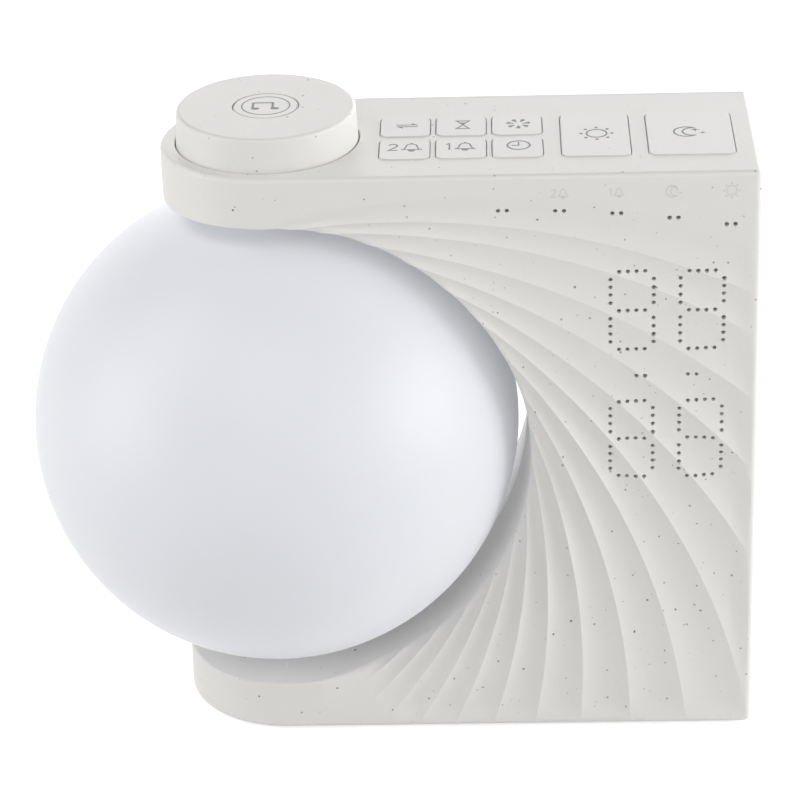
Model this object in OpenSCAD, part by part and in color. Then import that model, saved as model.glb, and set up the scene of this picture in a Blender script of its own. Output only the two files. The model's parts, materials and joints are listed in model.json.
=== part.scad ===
// Sunrise alarm clock: a C-shaped housing with a fluted front that holds a
// light globe between its two arms, a rotary knob on the round arm end,
// eight push keys on top and a dot display drilled through the front wall.
//
// Frame: origin at the middle of the overall box, on the surface it stands on.
// +X to the display side, +Y to the back, +Z up. Millimetres.

/* [Body] */
// Height of the housing without its feet
body_h = 149.6; // [140:0.1:165]
// Depth of the housing, front face to back face
body_depth = 51.3; // [49:0.1:60]
// Distance from the axis of the round arm end to the flat right side
arm_to_side = 116.1; // [112:0.1:130]
// Wall of the front shell
wall = 2.2; // [1.8:0.1:2.6]
// Radius on the top and bottom edges
edge_r = 0.9; // [0.4:0.1:1.6]
// Radius on the two upright corners of the right side
corner_r = 1.6; // [0.6:0.1:3]
// Thickness of the rear cover
cover_t = 1.7; // [1.4:0.1:2.4]
// Depth of the locating lip of the rear cover
lip_h = 1.8; // [1:0.1:3]
// Thickness of the locating lip
lip_t = 1.2; // [0.8:0.1:1.8]
// Clearance between fixed parts that nest
fit_gap = 0.15; // [0.1:0.05:0.3]

/* [Globe] */
// Outer radius of the light globe
globe_r = 60; // [57:0.5:61]
// Wall of the globe
globe_wall = 2; // [1.4:0.1:3]
// How far the globe sits to the left of the arm axis
globe_shift = 0.8; // [0:0.1:1.5]
// Gap between the globe and the pocket in the housing
pocket_gap = 7.5; // [7:0.1:9]
// Wall of the pocket
pocket_wall = 2; // [1.4:0.1:2.2]
// Outer radius of the neck of the globe
neck_r = 15.5; // [13:0.1:18]
// Wall of the neck
neck_wall = 2; // [1.4:0.1:2.6]
// Radial width of the collar that holds the neck
collar_w = 3; // [2:0.1:4]
// Height of the collar
collar_h = 4.4; // [3:0.1:5]

/* [Flutes] */
// Number of flutes that fan out of the pocket rim
flute_count = 16; // [10:1:18]
// Angle between neighbouring ridges about the globe, degrees
flute_step = 10; // [8:0.5:10]
// Angle at which the lowest ridge leaves the rim, degrees
flute_first = -69; // [-75:1:-60]
// Radius of the arc that every ridge follows
flute_arc_r = 197; // [180:1:215]
// Angle between a ridge and the rim where they part, degrees
flute_lead = 18.3; // [15:0.1:22]
// Depth of a flute at its widest
flute_depth = 0.7; // [0.4:0.05:0.9]
// Distance from the edges over which the flutes run out
flute_fade = 6; // [4:0.5:12]

/* [Display] */
// Diameter of a display hole
dot_d = 1; // [0.8:0.05:1.3]
// Spacing of the holes
dot_pitch = 2.05; // [1.8:0.05:2.3]
// Width of a digit, between its outer columns of holes
digit_w = 10.2; // [9.5:0.1:11]
// Height of a digit, between its outer rows of holes
digit_h = 20.3; // [19:0.1:21]
// Sideways pitch of the digits
digit_pitch_x = 16.5; // [15.5:0.1:17]
// Upward pitch of the digits
digit_pitch_z = 34.2; // [33:0.1:36]
// Distance from the right side to the middle between the two digit columns
display_inset = 21.8; // [21:0.1:24]
// Height of the lowest row of holes above the bottom
display_z = 70; // [60:0.5:72]
// Distance between the two pairs of colon holes
colon_gap = 12.3; // [10:0.1:13]
// Sideways pitch of the five indicator pairs
indicator_pitch = 13.3; // [12.5:0.1:13.5]
// Distance from the right side to the last indicator pair
indicator_inset = 7.1; // [6.5:0.1:9]
// Distance from the top of the housing to the first indicator pair
indicator_drop = 9; // [8.5:0.1:11]
// How strongly the row of indicators sags to the right
indicator_sag = 0.265; // [0:0.005:0.4]

/* [Keys] */
// Width of a small key
key_w = 11.9; // [11:0.1:12.2]
// Depth of a small key
key_d = 12.5; // [11.5:0.1:13]
// Sideways pitch of the small keys
key_pitch_x = 13.35; // [13.2:0.05:13.6]
// Pitch of the two rows of small keys
key_pitch_y = 13.9; // [13.8:0.05:14.4]
// Distance from the arm axis to the first column of keys
key_first_x = 32.95; // [32.6:0.05:33.2]
// Width of the light key
light_w = 16.3; // [15:0.1:17]
// Distance from the right side to the middle of the light key
light_inset = 37.95; // [37:0.05:38.5]
// Width of the snooze key
snooze_w = 20.3; // [18:0.1:21]
// Distance from the right side to the middle of the snooze key
snooze_inset = 15.45; // [14.5:0.05:16]
// How far the block of keys sits in front of the middle
key_shift_y = 1.85; // [1:0.05:2.5]
// Corner radius of the keys
key_r = 2; // [1:0.1:3]
// Clearance round a key
key_gap = 0.25; // [0.15:0.05:0.3]
// How far the keys stand above the top
key_proud = 0.25; // [0:0.05:0.6]
// Travel of a key
key_travel = 0.5; // [0.3:0.05:0.6]
// Width of the flange that keeps a key in
key_flange = 0.45; // [0.35:0.05:0.5]
// Thickness of that flange
key_flange_t = 0.8; // [0.6:0.1:1]

/* [Knob] */
// Radius of the knob at its top
knob_r = 21.4; // [19:0.1:22]
// Extra radius at the foot of the knob
knob_draft = 0.45; // [0:0.05:0.8]
// Height of the knob above the top of the housing
knob_h = 8.3; // [7.5:0.1:11]
// Clearance round the foot of the knob
knob_gap = 0.4; // [0.3:0.05:0.8]
// Depth of the recess that the knob stands in
recess_h = 1.6; // [1.4:0.1:1.9]
// Edge radius of the knob
knob_edge_r = 0.9; // [0.4:0.1:1.6]
// Side wall and roof of the knob
knob_wall = 2.1; // [1.6:0.1:2.4]
// Radius of the push button in the knob
button_r = 7.75; // [7:0.05:8.2]
// Travel of the push button
button_travel = 0.6; // [0.3:0.05:0.7]

/* [Feet and screws] */
// How far the feet stand below the housing
foot_h = 0.8; // [0.5:0.1:2]
// Radius of a foot
foot_r = 4.5; // [3:0.1:5]
// Depth of the recess that a foot is glued into
foot_seat = 0.6; // [0.4:0.1:0.9]
// Radius of the case screws
screw_r = 1.2; // [1:0.05:1.3]
// Radius of the head of a case screw
screw_head_r = 2.2; // [1.9:0.1:2.4]
// Radius of the bosses that take the case screws
boss_r = 2.8; // [2.6:0.1:3]
// Length of those bosses
boss_l = 8; // [6:0.5:10]

/* [Inside] */
// Thickness of the circuit boards
board_t = 1.6; // [1.2:0.1:1.8]
// Thickness of the diffuser film
film_t = 0.3; // [0.2:0.05:0.5]
// Thickness of the light baffle
baffle_t = 3.4; // [2.5:0.1:4]
// Depth from the top of the housing to the top of the key board
key_board_drop = 8.4; // [8:0.1:8.6]
// Radius of the speaker flange
speaker_r = 20.5; // [18:0.5:20.5]
// Height of the speaker axis above the bottom
speaker_z = 103; // [95:1:110]
// Depth of the speaker
speaker_l = 18; // [15:0.5:22]
// Radius of a hole in the speaker grille
grille_hole_r = 1.1; // [0.8:0.05:1.3]
// Pitch of the rings of the grille
grille_pitch = 4.4; // [3.6:0.1:4.6]
// Height of the power socket above the bottom
socket_z = 16; // [14:0.5:22]
// Width of the mouth of the power socket
socket_w = 9; // [8.5:0.1:10]
// Height of the mouth of the power socket
socket_h = 3.3; // [3:0.1:3.8]

/* [Hidden] */

$fn = 64;
eps = 0.01;
over = 1;

// The housing's own frame: x from the arm axis, z from its bottom.
half_d = body_depth / 2;
axis_x = (globe_r + globe_shift - arm_to_side) / 2;
cover_y = half_d - cover_t;
front_y = -half_d;
inner_front_y = front_y + wall;
globe_z = body_h / 2;
pocket_r = globe_r + pocket_gap;
skin_r = pocket_r + pocket_wall;
rim_r = sqrt(pocket_r * pocket_r - half_d * half_d);
// The lamp hangs from a flat seat at the top of the pocket, as wide as its collar
seat_r = neck_r + collar_w + 0.6;
seat_drop = pocket_r - sqrt(pocket_r * pocket_r - pow(seat_r + globe_shift, 2));
seat_z = globe_z + pocket_r - seat_drop;

shell_white = [0.86, 0.855, 0.84];
key_white = [0.89, 0.885, 0.875];
globe_white = [0.93, 0.94, 0.96];
board_green = [0.10, 0.35, 0.22];
steel = [0.72, 0.73, 0.75];
rubber_black = [0.12, 0.12, 0.13];

module place() translate([axis_x, 0, foot_h]) children();
module along_y() rotate([-90, 0, 0]) children();

// ---------------------------------------------------------------- housing

// Plan outline of the housing, drawn in by a distance
module right_plan(in) {
    r = max(corner_r - in, 0.3);
    w = half_d - in;
    translate([0, -w]) square([arm_to_side - in - r, 2 * w]);
    translate([0, r - w]) square([arm_to_side - in, 2 * (w - r)]);
    for (s = [-1, 1]) translate([arm_to_side - in - r, s * (w - r)]) circle(r);
}

// A rectangle w by h with four round corners, its left bottom corner at 0
module round_rect(w, h, r) {
    translate([r, 0]) square([w - 2 * r, h]);
    translate([0, r]) square([w, h - 2 * r]);
    for (x = [r, w - r], y = [r, h - r]) translate([x, y]) circle(r);
}

// The outside of the housing as one solid
module body_block() {
    // round arm end
    rotate([0, 0, 90]) rotate_extrude(angle = 180) intersection() {
        translate([-half_d, 0]) round_rect(2 * half_d, body_h, edge_r);
        square([half_d, body_h]);
    }
    // straight part with eased edges
    intersection() {
        linear_extrude(body_h) right_plan(0);
        rotate([90, 0, 90]) linear_extrude(arm_to_side)
            translate([-half_d, 0]) round_rect(2 * half_d, body_h, edge_r);
        along_y() translate([0, 0, -half_d]) linear_extrude(body_depth)
            translate([-half_d, -body_h]) round_rect(arm_to_side + half_d, body_h, edge_r);
    }
}

// The hollow of the front shell, open at the back
module body_hollow() {
    translate([0, 0, wall]) linear_extrude(body_h - 2 * wall) {
        circle(half_d - wall);
        right_plan(wall);
        square([arm_to_side - wall, half_d]);
    }
}

module pocket_ball(r) translate([0, 0, globe_z]) sphere(r, $fn = 96);

// Everything in front of the plane of the rear cover
module before_cover() {
    translate([-body_depth, -body_depth, -over])
        cube([arm_to_side + 2 * body_depth, body_depth + cover_y, body_h + 2 * over]);
}

// ------------------------------------------------------------------ flutes

// Every ridge is the same arc, turned about the globe. In the frame of a
// ridge that leaves the rim on the +X axis, the arc's centre is at arc_c.
arc_c = [rim_r - flute_arc_r * cos(flute_lead), -flute_arc_r * sin(flute_lead)];
arc_d = norm(arc_c);
arc_a = atan2(arc_c[1], arc_c[0]);

// How far the arc has turned about the globe at radius r, degrees
function arc_turn(r) =
    -arc_a - acos((arc_d * arc_d + r * r - flute_arc_r * flute_arc_r) / (2 * arc_d * r));

// Point at radius r on the arc that leaves the rim at angle a, as [x, z]
function arc_point(a, r) = let (t = a - arc_turn(r))
    [r * cos(t), globe_z + r * sin(t)];

// Distance from a point of the front face to its nearest outer edge
function edge_gap(p) = min(arm_to_side - p[0], p[1], body_h - p[1]);

// Radius at which the arc from angle a leaves the face, by halving
function arc_reach(a, lo, hi, n = 18) =
    n == 0 ? lo :
    let (mid = (lo + hi) / 2)
    edge_gap(arc_point(a, mid)) > -0.5 * over
        ? arc_reach(a, mid, hi, n - 1) : arc_reach(a, lo, mid, n - 1);

function ramp(t) = let (c = min(max(t, 0), 1)) c * c * (3 - 2 * c);

// Depth of the relief at a point of the face, u across a flute
function relief(p, u) =
    let (
        r = norm([p[0], p[1] - globe_z]),
        a = atan2(p[1] - globe_z, p[0]),
        hollow = 4 * u * (1 - u),
        grown = 0.45 + 0.55 * ramp((r - rim_r) / (0.35 * rim_r)),
        edge = ramp(edge_gap(p) / flute_fade),
        low = ramp((a + 76) / 18),
        high = ramp((92 - a) / 40)
    )
    flute_skim + flute_depth * hollow * grown * edge * low * high;

flute_skim = 0.04;
flute_across = 5;
flute_along = 14;
flute_inner_r = rim_r - 3;

// The solid that the front wall is cut with
module flute_cutter() {
    n = flute_count * flute_across;
    m = flute_along;
    front = front_y - over;
    grid = [for (j = [0:n]) let (
        a = flute_first + flute_step * j / flute_across,
        far = arc_reach(a, rim_r, 2 * arm_to_side))
        for (k = [0:m]) let (
            r = k == 0 ? flute_inner_r : rim_r + (far - rim_r) * pow((k - 1) / (m - 1), 1.2),
            p = k == 0 ? [r * cos(a), globe_z + r * sin(a)] : arc_point(a, r))
            [p[0], p[1], relief(p, (j % flute_across) / flute_across)]];
    back = [for (g = grid) [g[0], front_y + g[2], g[1]]];
    face = [for (g = grid) [g[0], front, g[1]]];
    c = len(grid);
    function at(j, k) = j * (m + 1) + k;
    quads = [for (j = [0:n - 1], k = [0:m - 1])
        [at(j, k), at(j, k + 1), at(j + 1, k + 1), at(j + 1, k)]];
    tris = [for (q = quads) each [[q[0], q[1], q[2]], [q[0], q[2], q[3]]]];
    rim = concat(
        [for (k = [0:m]) at(0, k)],
        [for (j = [1:n]) at(j, m)],
        [for (k = [1:m]) at(n, m - k)],
        [for (j = [1:n - 1]) at(n - j, 0)]);
    sides = [for (i = [0:len(rim) - 1]) let (a = rim[i], b = rim[(i + 1) % len(rim)])
        each [[a, a + c, b + c], [a, b + c, b]]];
    polyhedron(
        points = concat(back, face),
        faces = concat(tris, sides, [[for (i = [1:len(rim)]) rim[len(rim) - i] + c]]),
        convexity = 10);
}

// ----------------------------------------------------------------- display

display_x = arm_to_side - display_inset;

function digit_dots(x, z) = concat(
    [for (row = [0:2], i = [-1.5:1.5])
        [x + i * dot_pitch, z + row * digit_h / 2]],
    [for (side = [-1, 1], half = [0:1], i = [-1.5:1.5])
        [x + side * digit_w / 2, z + digit_h * (0.25 + half / 2) + i * dot_pitch]]);

// Two holes side by side about a point
function pair_dots(x, z) = [for (s = [-0.5, 0.5]) [x + s * dot_pitch, z]];

digit_places = [for (col = [-0.5, 0.5], row = [0, 1])
    [display_x + col * digit_pitch_x, display_z + row * digit_pitch_z]];
colon_z = display_z + (digit_pitch_z + digit_h) / 2;
indicator_places = [for (i = [0:4])
    [arm_to_side - indicator_inset - (4 - i) * indicator_pitch,
     body_h - indicator_drop - indicator_sag * i * i]];
dots = concat(
    [for (p = digit_places) each digit_dots(p[0], p[1])],
    [for (s = [-0.5, 0.5]) each pair_dots(display_x + s * colon_gap, colon_z)],
    [for (p = indicator_places) each pair_dots(p[0], p[1])]);

module dot_holes() {
    for (p = dots)
        translate([p[0], front_y - over, p[1]])
            along_y() cylinder(d = dot_d, h = wall + 2 * over, $fn = 24);
}

// The rectangle of the display parts, grown by a margin, as [x, z, w, h]
display_left = indicator_places[0][0] - 4.5;
display_low = display_z - 4;
display_w = arm_to_side - wall - 1 - display_left;
display_h = body_h - wall - 1 - display_low;
film_y = inner_front_y + 0.05;
baffle_y = film_y + film_t + 0.05;
display_board_y = baffle_y + baffle_t + 0.05;

// Flat display part: a plate that keeps clear of the pocket
module display_plate(y, t) {
    difference() {
        translate([display_left, y, display_low]) cube([display_w, t, display_h]);
        pocket_ball(skin_r + 0.6);
    }
}

// -------------------------------------------------------------------- keys

key_y = -key_shift_y;
long_d = key_pitch_y + key_d;
light_x = arm_to_side - light_inset;
snooze_x = arm_to_side - snooze_inset;
// Place and size of every key: x, y, width, depth
key_spots = [
    [key_first_x, key_y + key_pitch_y / 2, key_w, key_d],
    [key_first_x + key_pitch_x, key_y + key_pitch_y / 2, key_w, key_d],
    [key_first_x + 2 * key_pitch_x, key_y + key_pitch_y / 2, key_w, key_d],
    [key_first_x, key_y - key_pitch_y / 2, key_w, key_d],
    [key_first_x + key_pitch_x, key_y - key_pitch_y / 2, key_w, key_d],
    [key_first_x + 2 * key_pitch_x, key_y - key_pitch_y / 2, key_w, key_d],
    [light_x, key_y, light_w, long_d],
    [snooze_x, key_y, snooze_w, long_d]
];
key_board_z = body_h - key_board_drop;
switch_h = 3.5;
plunger_h = 0.5;
switch_top = key_board_z + switch_h + plunger_h;
flange_top = body_h - wall - 0.1;
key_edge_r = 0.4;

module key_hole(s) {
    translate([s[0] - s[2] / 2 - key_gap, s[1] - s[3] / 2 - key_gap, body_h - wall - over])
        linear_extrude(wall + 2 * over)
            round_rect(s[2] + 2 * key_gap, s[3] + 2 * key_gap, key_r + key_gap);
}

module key_solid(s) {
    color(key_white) place() {
        // cap
        translate([s[0] - s[2] / 2, s[1] - s[3] / 2, flange_top - eps])
            linear_extrude(body_h + key_proud - flange_top - key_edge_r + eps)
                round_rect(s[2], s[3], key_r);
        // stepped edge of the cap
        translate([s[0] - s[2] / 2 + key_edge_r / 2, s[1] - s[3] / 2 + key_edge_r / 2,
                   body_h + key_proud - key_edge_r])
            linear_extrude(key_edge_r)
                round_rect(s[2] - key_edge_r, s[3] - key_edge_r, key_r - key_edge_r / 2);
        // flange under the top wall
        translate([s[0] - s[2] / 2 - key_flange, s[1] - s[3] / 2 - key_flange,
                   flange_top - key_flange_t])
            linear_extrude(key_flange_t)
                round_rect(s[2] + 2 * key_flange, s[3] + 2 * key_flange, key_r);
        // stem over the switch
        translate([s[0], s[1], switch_top + key_travel + 0.05])
            cylinder(r = 1.5, h = flange_top - key_flange_t - switch_top - key_travel - 0.05 + eps);
    }
}

// -------------------------------------------------------------------- knob

knob_top = body_h + knob_h;
knob_foot = body_h - recess_h + 0.5;
knob_foot_r = knob_r + knob_draft;
recess_r = knob_foot_r + knob_gap;
recess_z = body_h - recess_h;
bore_r = button_r + 0.3;
rotor_r = bore_r - 0.05;
hub_r = bore_r + 2;
encoder_h = 4.4;
rotor_top = recess_z + encoder_h + 1.8;
button_t = 2.1;

// ------------------------------------------------------------------ fixings

// Case screws, as [x, z] on the rear cover
screw_spots = [
    [2, wall + 2.5], [60, wall + 2.5], [arm_to_side - wall - 2.4, wall + 4],
    [arm_to_side - wall - 2.4, body_h / 2 - 2],
    [60, body_h - wall - 2.4], [2, body_h - wall - 2.4]
];
screw_l = 5.5;
screw_sink = 0.8;
foot_spots = [
    [-6, -15], [-6, 15], [arm_to_side - 12, -17], [arm_to_side - 12, 17]
];
// Screws of the key board, as [x, y]
key_post_y = key_y + key_pitch_y / 2 + key_d / 2 + key_flange + 2.4;
gap_a = (key_first_x + 2 * key_pitch_x + key_w / 2 + light_x - light_w / 2) / 2;
gap_b = (light_x + light_w / 2 + snooze_x - snooze_w / 2) / 2;
key_posts = [
    [key_first_x - 2, key_post_y], [gap_a, key_post_y], [snooze_x + 6, key_post_y],
    [gap_a, key_y - 11], [gap_b, key_y - 11]
];
key_post_r = 1.45;
key_screw_r = 0.7;
key_screw_l = 4.5;

module foot_holes() {
    for (p = foot_spots)
        translate([p[0], p[1], -over]) cylinder(r = foot_r + 0.05, h = foot_seat + over);
}

module front_shell() {
    color(shell_white) place() difference() {
        union() {
            difference() {
                intersection() { body_block(); before_cover(); }
                body_hollow();
            }
            // wall of the pocket, with the flat seat of the lamp
            intersection() {
                pocket_ball(skin_r);
                translate([0, 0, wall / 2]) linear_extrude(body_h - wall) {
                    circle(half_d - wall / 2);
                    right_plan(wall / 2);
                }
                before_cover();
            }
            // floor of the knob recess
            translate([0, 0, recess_z - wall]) cylinder(r = recess_r + 1.2, h = wall + recess_h - edge_r);
            // bosses for the case screws
            intersection() {
                for (p = screw_spots)
                    translate([p[0], cover_y - boss_l, p[1]]) along_y() cylinder(r = boss_r, h = boss_l);
                translate([0, 0, wall / 2]) linear_extrude(body_h - wall) {
                    circle(half_d - wall / 2);
                    right_plan(wall / 2);
                    square([arm_to_side - wall / 2, half_d]);
                }
            }
            // posts for the key board
            for (p = key_posts)
                translate([p[0], p[1], key_board_z + 0.02])
                    cylinder(r = key_post_r, h = body_h - wall / 2 - key_board_z);
        }
        difference() {
            pocket_ball(pocket_r);
            translate([-globe_shift, 0, seat_z]) cylinder(r = seat_r, h = seat_drop + over);
        }
        // wire hole of the lamp
        translate([-globe_shift, 0, seat_z - over])
            cylinder(r = 3, h = seat_drop + pocket_wall + over + 0.8);
        translate([0, 0, recess_z]) cylinder(r = recess_r, h = recess_h + over);
        for (s = key_spots) key_hole(s);
        for (p = key_posts)
            translate([p[0], p[1], key_board_z - over])
                cylinder(r = key_screw_r + 0.02, h = key_screw_l + 0.5 + over, $fn = 24);
        for (p = screw_spots)
            translate([p[0], cover_y - boss_l + 1.5, p[1]])
                along_y() cylinder(r = screw_r + 0.03, h = boss_l, $fn = 32);
        foot_holes();
        flute_cutter();
        dot_holes();
    }
}

// Grille holes in rings, as [x, z]
speaker_x = arm_to_side - wall - speaker_r - 1.6;
grille_dots = concat([[0, 0]], [for (ring = [1:3], i = [0:6 * ring - 1])
    [ring * grille_pitch * cos(60 * i / ring), ring * grille_pitch * sin(60 * i / ring)]]);
socket_x = arm_to_side - 20;

module rear_cover() {
    color(shell_white) place() difference() {
        union() {
            difference() {
                body_block();
                before_cover();
            }
            // locating lip inside the shell
            difference() {
                translate([0, cover_y - lip_h, wall + fit_gap])
                    cube([arm_to_side - wall - fit_gap, lip_h + eps, body_h - 2 * wall - 2 * fit_gap]);
                translate([-over, cover_y - lip_h - over, wall + fit_gap + lip_t])
                    cube([arm_to_side - wall - fit_gap - lip_t + over, lip_h + over,
                          body_h - 2 * (wall + fit_gap + lip_t)]);
                pocket_ball(skin_r + fit_gap);
                for (p = screw_spots)
                    translate([p[0], cover_y - lip_h - over, p[1]])
                        along_y() cylinder(r = boss_r + fit_gap, h = lip_h + over);
            }
        }
        pocket_ball(pocket_r);
        for (p = screw_spots) {
            translate([p[0], cover_y - over, p[1]])
                along_y() cylinder(r = screw_r + fit_gap, h = cover_t + 2 * over);
            translate([p[0], half_d - screw_sink, p[1]])
                along_y() cylinder(r = screw_head_r + fit_gap, h = screw_sink + over);
        }
        for (g = grille_dots)
            translate([speaker_x + g[0], cover_y - over, speaker_z + g[1]])
                along_y() cylinder(r = grille_hole_r, h = cover_t + 2 * over, $fn = 24);
        translate([socket_x - socket_w / 2 - 0.25, cover_y - over, socket_z + socket_h / 2 + 0.25])
            along_y() linear_extrude(cover_t + 2 * over)
                round_rect(socket_w + 0.5, socket_h + 0.5, (socket_h + 0.5) / 2 - eps);
    }
}

module rubber_feet() {
    color(rubber_black) place() for (p = foot_spots)
        translate([p[0], p[1], -foot_h]) cylinder(r = foot_r, h = foot_h + foot_seat);
}

module case_screws() {
    color(steel) place() for (p = screw_spots) {
        translate([p[0], cover_y - screw_l, p[1]])
            along_y() cylinder(r = screw_r, h = screw_l + cover_t - screw_sink + eps, $fn = 32);
        translate([p[0], half_d - screw_sink, p[1]]) along_y() difference() {
            cylinder(r = screw_head_r, h = 0.7);
            translate([0, 0, 0.3]) for (q = [0, 90]) rotate(q)
                translate([-1.4, -0.25, 0]) cube([2.8, 0.5, over]);
        }
    }
}

// -------------------------------------------------------------------- lamp

heatsink_t = 2;
lamp_board_z = seat_z - heatsink_t - board_t;
lamp_r = neck_r - neck_wall - 0.4;

module globe() {
    neck_top = seat_z - 0.2;
    color(globe_white) place() translate([-globe_shift, 0, 0]) difference() {
        union() {
            pocket_ball(globe_r);
            translate([0, 0, globe_z]) cylinder(r = neck_r, h = neck_top - globe_z);
        }
        pocket_ball(globe_r - globe_wall);
        translate([0, 0, globe_z]) cylinder(r = neck_r - neck_wall, h = globe_r + pocket_gap);
    }
}

module globe_collar() {
    color(shell_white) place() translate([-globe_shift, 0, seat_z - collar_h]) difference() {
        cylinder(r = neck_r + collar_w, h = collar_h);
        translate([0, 0, -over]) cylinder(r = neck_r + 0.05, h = collar_h + 2 * over);
    }
}

module lamp_heatsink() {
    color(steel) place() translate([-globe_shift, 0, seat_z - heatsink_t]) difference() {
        cylinder(r = lamp_r, h = heatsink_t);
        translate([0, 0, -over]) cylinder(r = 3, h = heatsink_t + 2 * over);
    }
}

module lamp_board() {
    color("white") place() translate([-globe_shift, 0, lamp_board_z]) difference() {
        cylinder(r = lamp_r, h = board_t);
        translate([0, 0, -over]) cylinder(r = 1.6, h = board_t + 2 * over);
    }
}

module lamp_leds() {
    color("gold") place() translate([-globe_shift, 0, lamp_board_z - 0.8])
        for (i = [0:11]) rotate(30 * i) translate([i % 2 == 0 ? 10 : 6, 0, 0])
            translate([-1.4, -1.4, 0]) cube([2.8, 2.8, 0.8]);
}

// ----------------------------------------------------------- display parts

module diffuser_film() {
    color([0.2, 0.2, 0.22]) place() display_plate(film_y, film_t);
}

// Window of the baffle behind a straight run of four holes
module baffle_windows() {
    w = 1.7;
    run = 3 * dot_pitch + w;
    translate([0, baffle_y - over, 0]) {
        for (p = digit_places) {
            for (row = [0:2])
                translate([p[0] - run / 2, 0, p[1] + row * digit_h / 2 - w / 2])
                    cube([run, baffle_t + 2 * over, w]);
            for (side = [-1, 1], half = [0:1])
                translate([p[0] + side * digit_w / 2 - w / 2, 0, p[1] + digit_h * (0.25 + half / 2) - run / 2])
                    cube([w, baffle_t + 2 * over, run]);
        }
        for (s = [-0.5, 0.5]) pair_window(display_x + s * colon_gap, colon_z, w);
        for (p = indicator_places) pair_window(p[0], p[1], w);
    }
}

module pair_window(x, z, w) {
    translate([x - dot_pitch / 2 - w / 2, 0, z - w / 2]) cube([dot_pitch + w, baffle_t + 2 * over, w]);
}

module light_baffle() {
    color("white") place() difference() {
        display_plate(baffle_y, baffle_t);
        baffle_windows();
    }
}

module display_leds() {
    color("gold") place() for (p = dots)
        translate([p[0] - 0.5, display_board_y - 0.6, p[1] - 0.5]) cube([1, 0.6, 1]);
}

module display_board() {
    color(board_green) place() display_plate(display_board_y, board_t);
}

// --------------------------------------------------------------- key parts

key_board_x = key_first_x - key_w / 2 + 0.6;
key_board_front = display_board_y + board_t + 0.6;
module key_board() {
    color(board_green) place() difference() {
        translate([key_board_x, key_board_front, key_board_z - board_t])
            cube([arm_to_side - wall - 1 - key_board_x, key_post_y + 2.2 - key_board_front, board_t]);
        for (p = key_posts)
            translate([p[0], p[1], key_board_z - board_t - over])
                cylinder(r = key_screw_r + 0.1, h = board_t + 2 * over, $fn = 24);
    }
}

module key_switches() {
    color([0.2, 0.2, 0.22]) place() for (s = key_spots) translate([s[0], s[1], key_board_z]) {
        translate([-3, -3, 0]) cube([6, 6, switch_h]);
        cylinder(r = 1.75, h = switch_h + plunger_h);
    }
}

module board_screws() {
    color(steel) place() for (p = key_posts) translate([p[0], p[1], key_board_z]) {
        translate([0, 0, -board_t - 0.9]) cylinder(r = 1.4, h = 0.9);
        translate([0, 0, -board_t - eps]) cylinder(r = key_screw_r, h = board_t + key_screw_l, $fn = 24);
    }
}

// -------------------------------------------------------------- main board

main_board_y = 17;
main_board_x = 76;
main_board_low = wall + 6.2;
main_board_top = speaker_z - speaker_r - 4;
module main_board() {
    color(board_green) place() difference() {
        translate([main_board_x, main_board_y, main_board_low])
            cube([arm_to_side - wall - 6 - main_board_x, board_t, main_board_top - main_board_low]);
        pocket_ball(skin_r + 1);
    }
}

module main_board_parts() {
    color([0.16, 0.16, 0.18]) place() translate([0, main_board_y, 0]) {
        translate([84, -1.4, 30]) cube([10, 1.4, 10]);
        translate([98, -1.2, 34]) cube([6, 1.2, 5]);
        translate([80, -5.5, 58]) cube([12, 5.5, 4.4]);
        translate([96, -5.5, 58]) cube([9, 5.5, 4.4]);
        for (x = [84, 93]) translate([x, 0, 18]) rotate([90, 0, 0]) cylinder(r = 3.1, h = 8);
    }
}

module power_socket() {
    color(steel) place() translate([socket_x, 0, socket_z]) difference() {
        translate([-socket_w / 2, main_board_y + board_t, socket_h / 2]) along_y()
            linear_extrude(half_d - 0.8 - main_board_y - board_t) round_rect(socket_w, socket_h, socket_h / 2 - eps);
        difference() {
            translate([-socket_w / 2 + 0.3, main_board_y + board_t + 1, socket_h / 2 - 0.3]) along_y()
                linear_extrude(half_d) round_rect(socket_w - 0.6, socket_h - 0.6, socket_h / 2 - 0.3 - eps);
            translate([-3.3, main_board_y, -0.35]) cube([6.6, half_d - 1.8 - main_board_y, 0.7]);
        }
    }
}

cell_x = 99;
cell_z = 48;
module cell_holder() {
    color([0.15, 0.15, 0.16]) place() translate([cell_x, main_board_y + board_t, cell_z]) along_y() difference() {
        cylinder(r = 9, h = 3.6);
        translate([0, 0, 1]) cylinder(r = 8.15, h = 4);
    }
}

module backup_cell() {
    color(steel) place() translate([cell_x, main_board_y + board_t + 1.02, cell_z]) along_y()
        cylinder(r = 8, h = 2.5);
}

// ----------------------------------------------------------------- speaker

gasket_t = 0.8;
flange_t = 1.2;
magnet_l = 6.5;
basket_l = speaker_l - magnet_l - gasket_t;
// Turned about the speaker axis, z measured forward from the rear cover
module at_speaker() {
    translate([speaker_x, cover_y, speaker_z]) rotate([90, 0, 0]) children();
}

module speaker_gasket() {
    color(rubber_black) place() at_speaker() difference() {
        cylinder(r = speaker_r - 0.3, h = gasket_t);
        translate([0, 0, -over]) cylinder(r = speaker_r - 3, h = gasket_t + 2 * over);
    }
}

module speaker_frame() {
    color([0.25, 0.25, 0.27]) place() at_speaker() translate([0, 0, gasket_t]) difference() {
        union() {
            cylinder(r = speaker_r, h = flange_t);
            cylinder(r1 = speaker_r - 2, r2 = 12, h = basket_l);
        }
        translate([0, 0, -eps]) cylinder(r1 = speaker_r - 3, r2 = 10.8, h = basket_l - 1);
        translate([0, 0, -over]) cylinder(r = 5.5, h = basket_l + 2 * over);
        for (i = [0:3]) rotate(90 * i + 45) translate([0, -3.5, flange_t + 1.5])
            cube([speaker_r, 7, basket_l - flange_t - 3.5]);
    }
}

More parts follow.
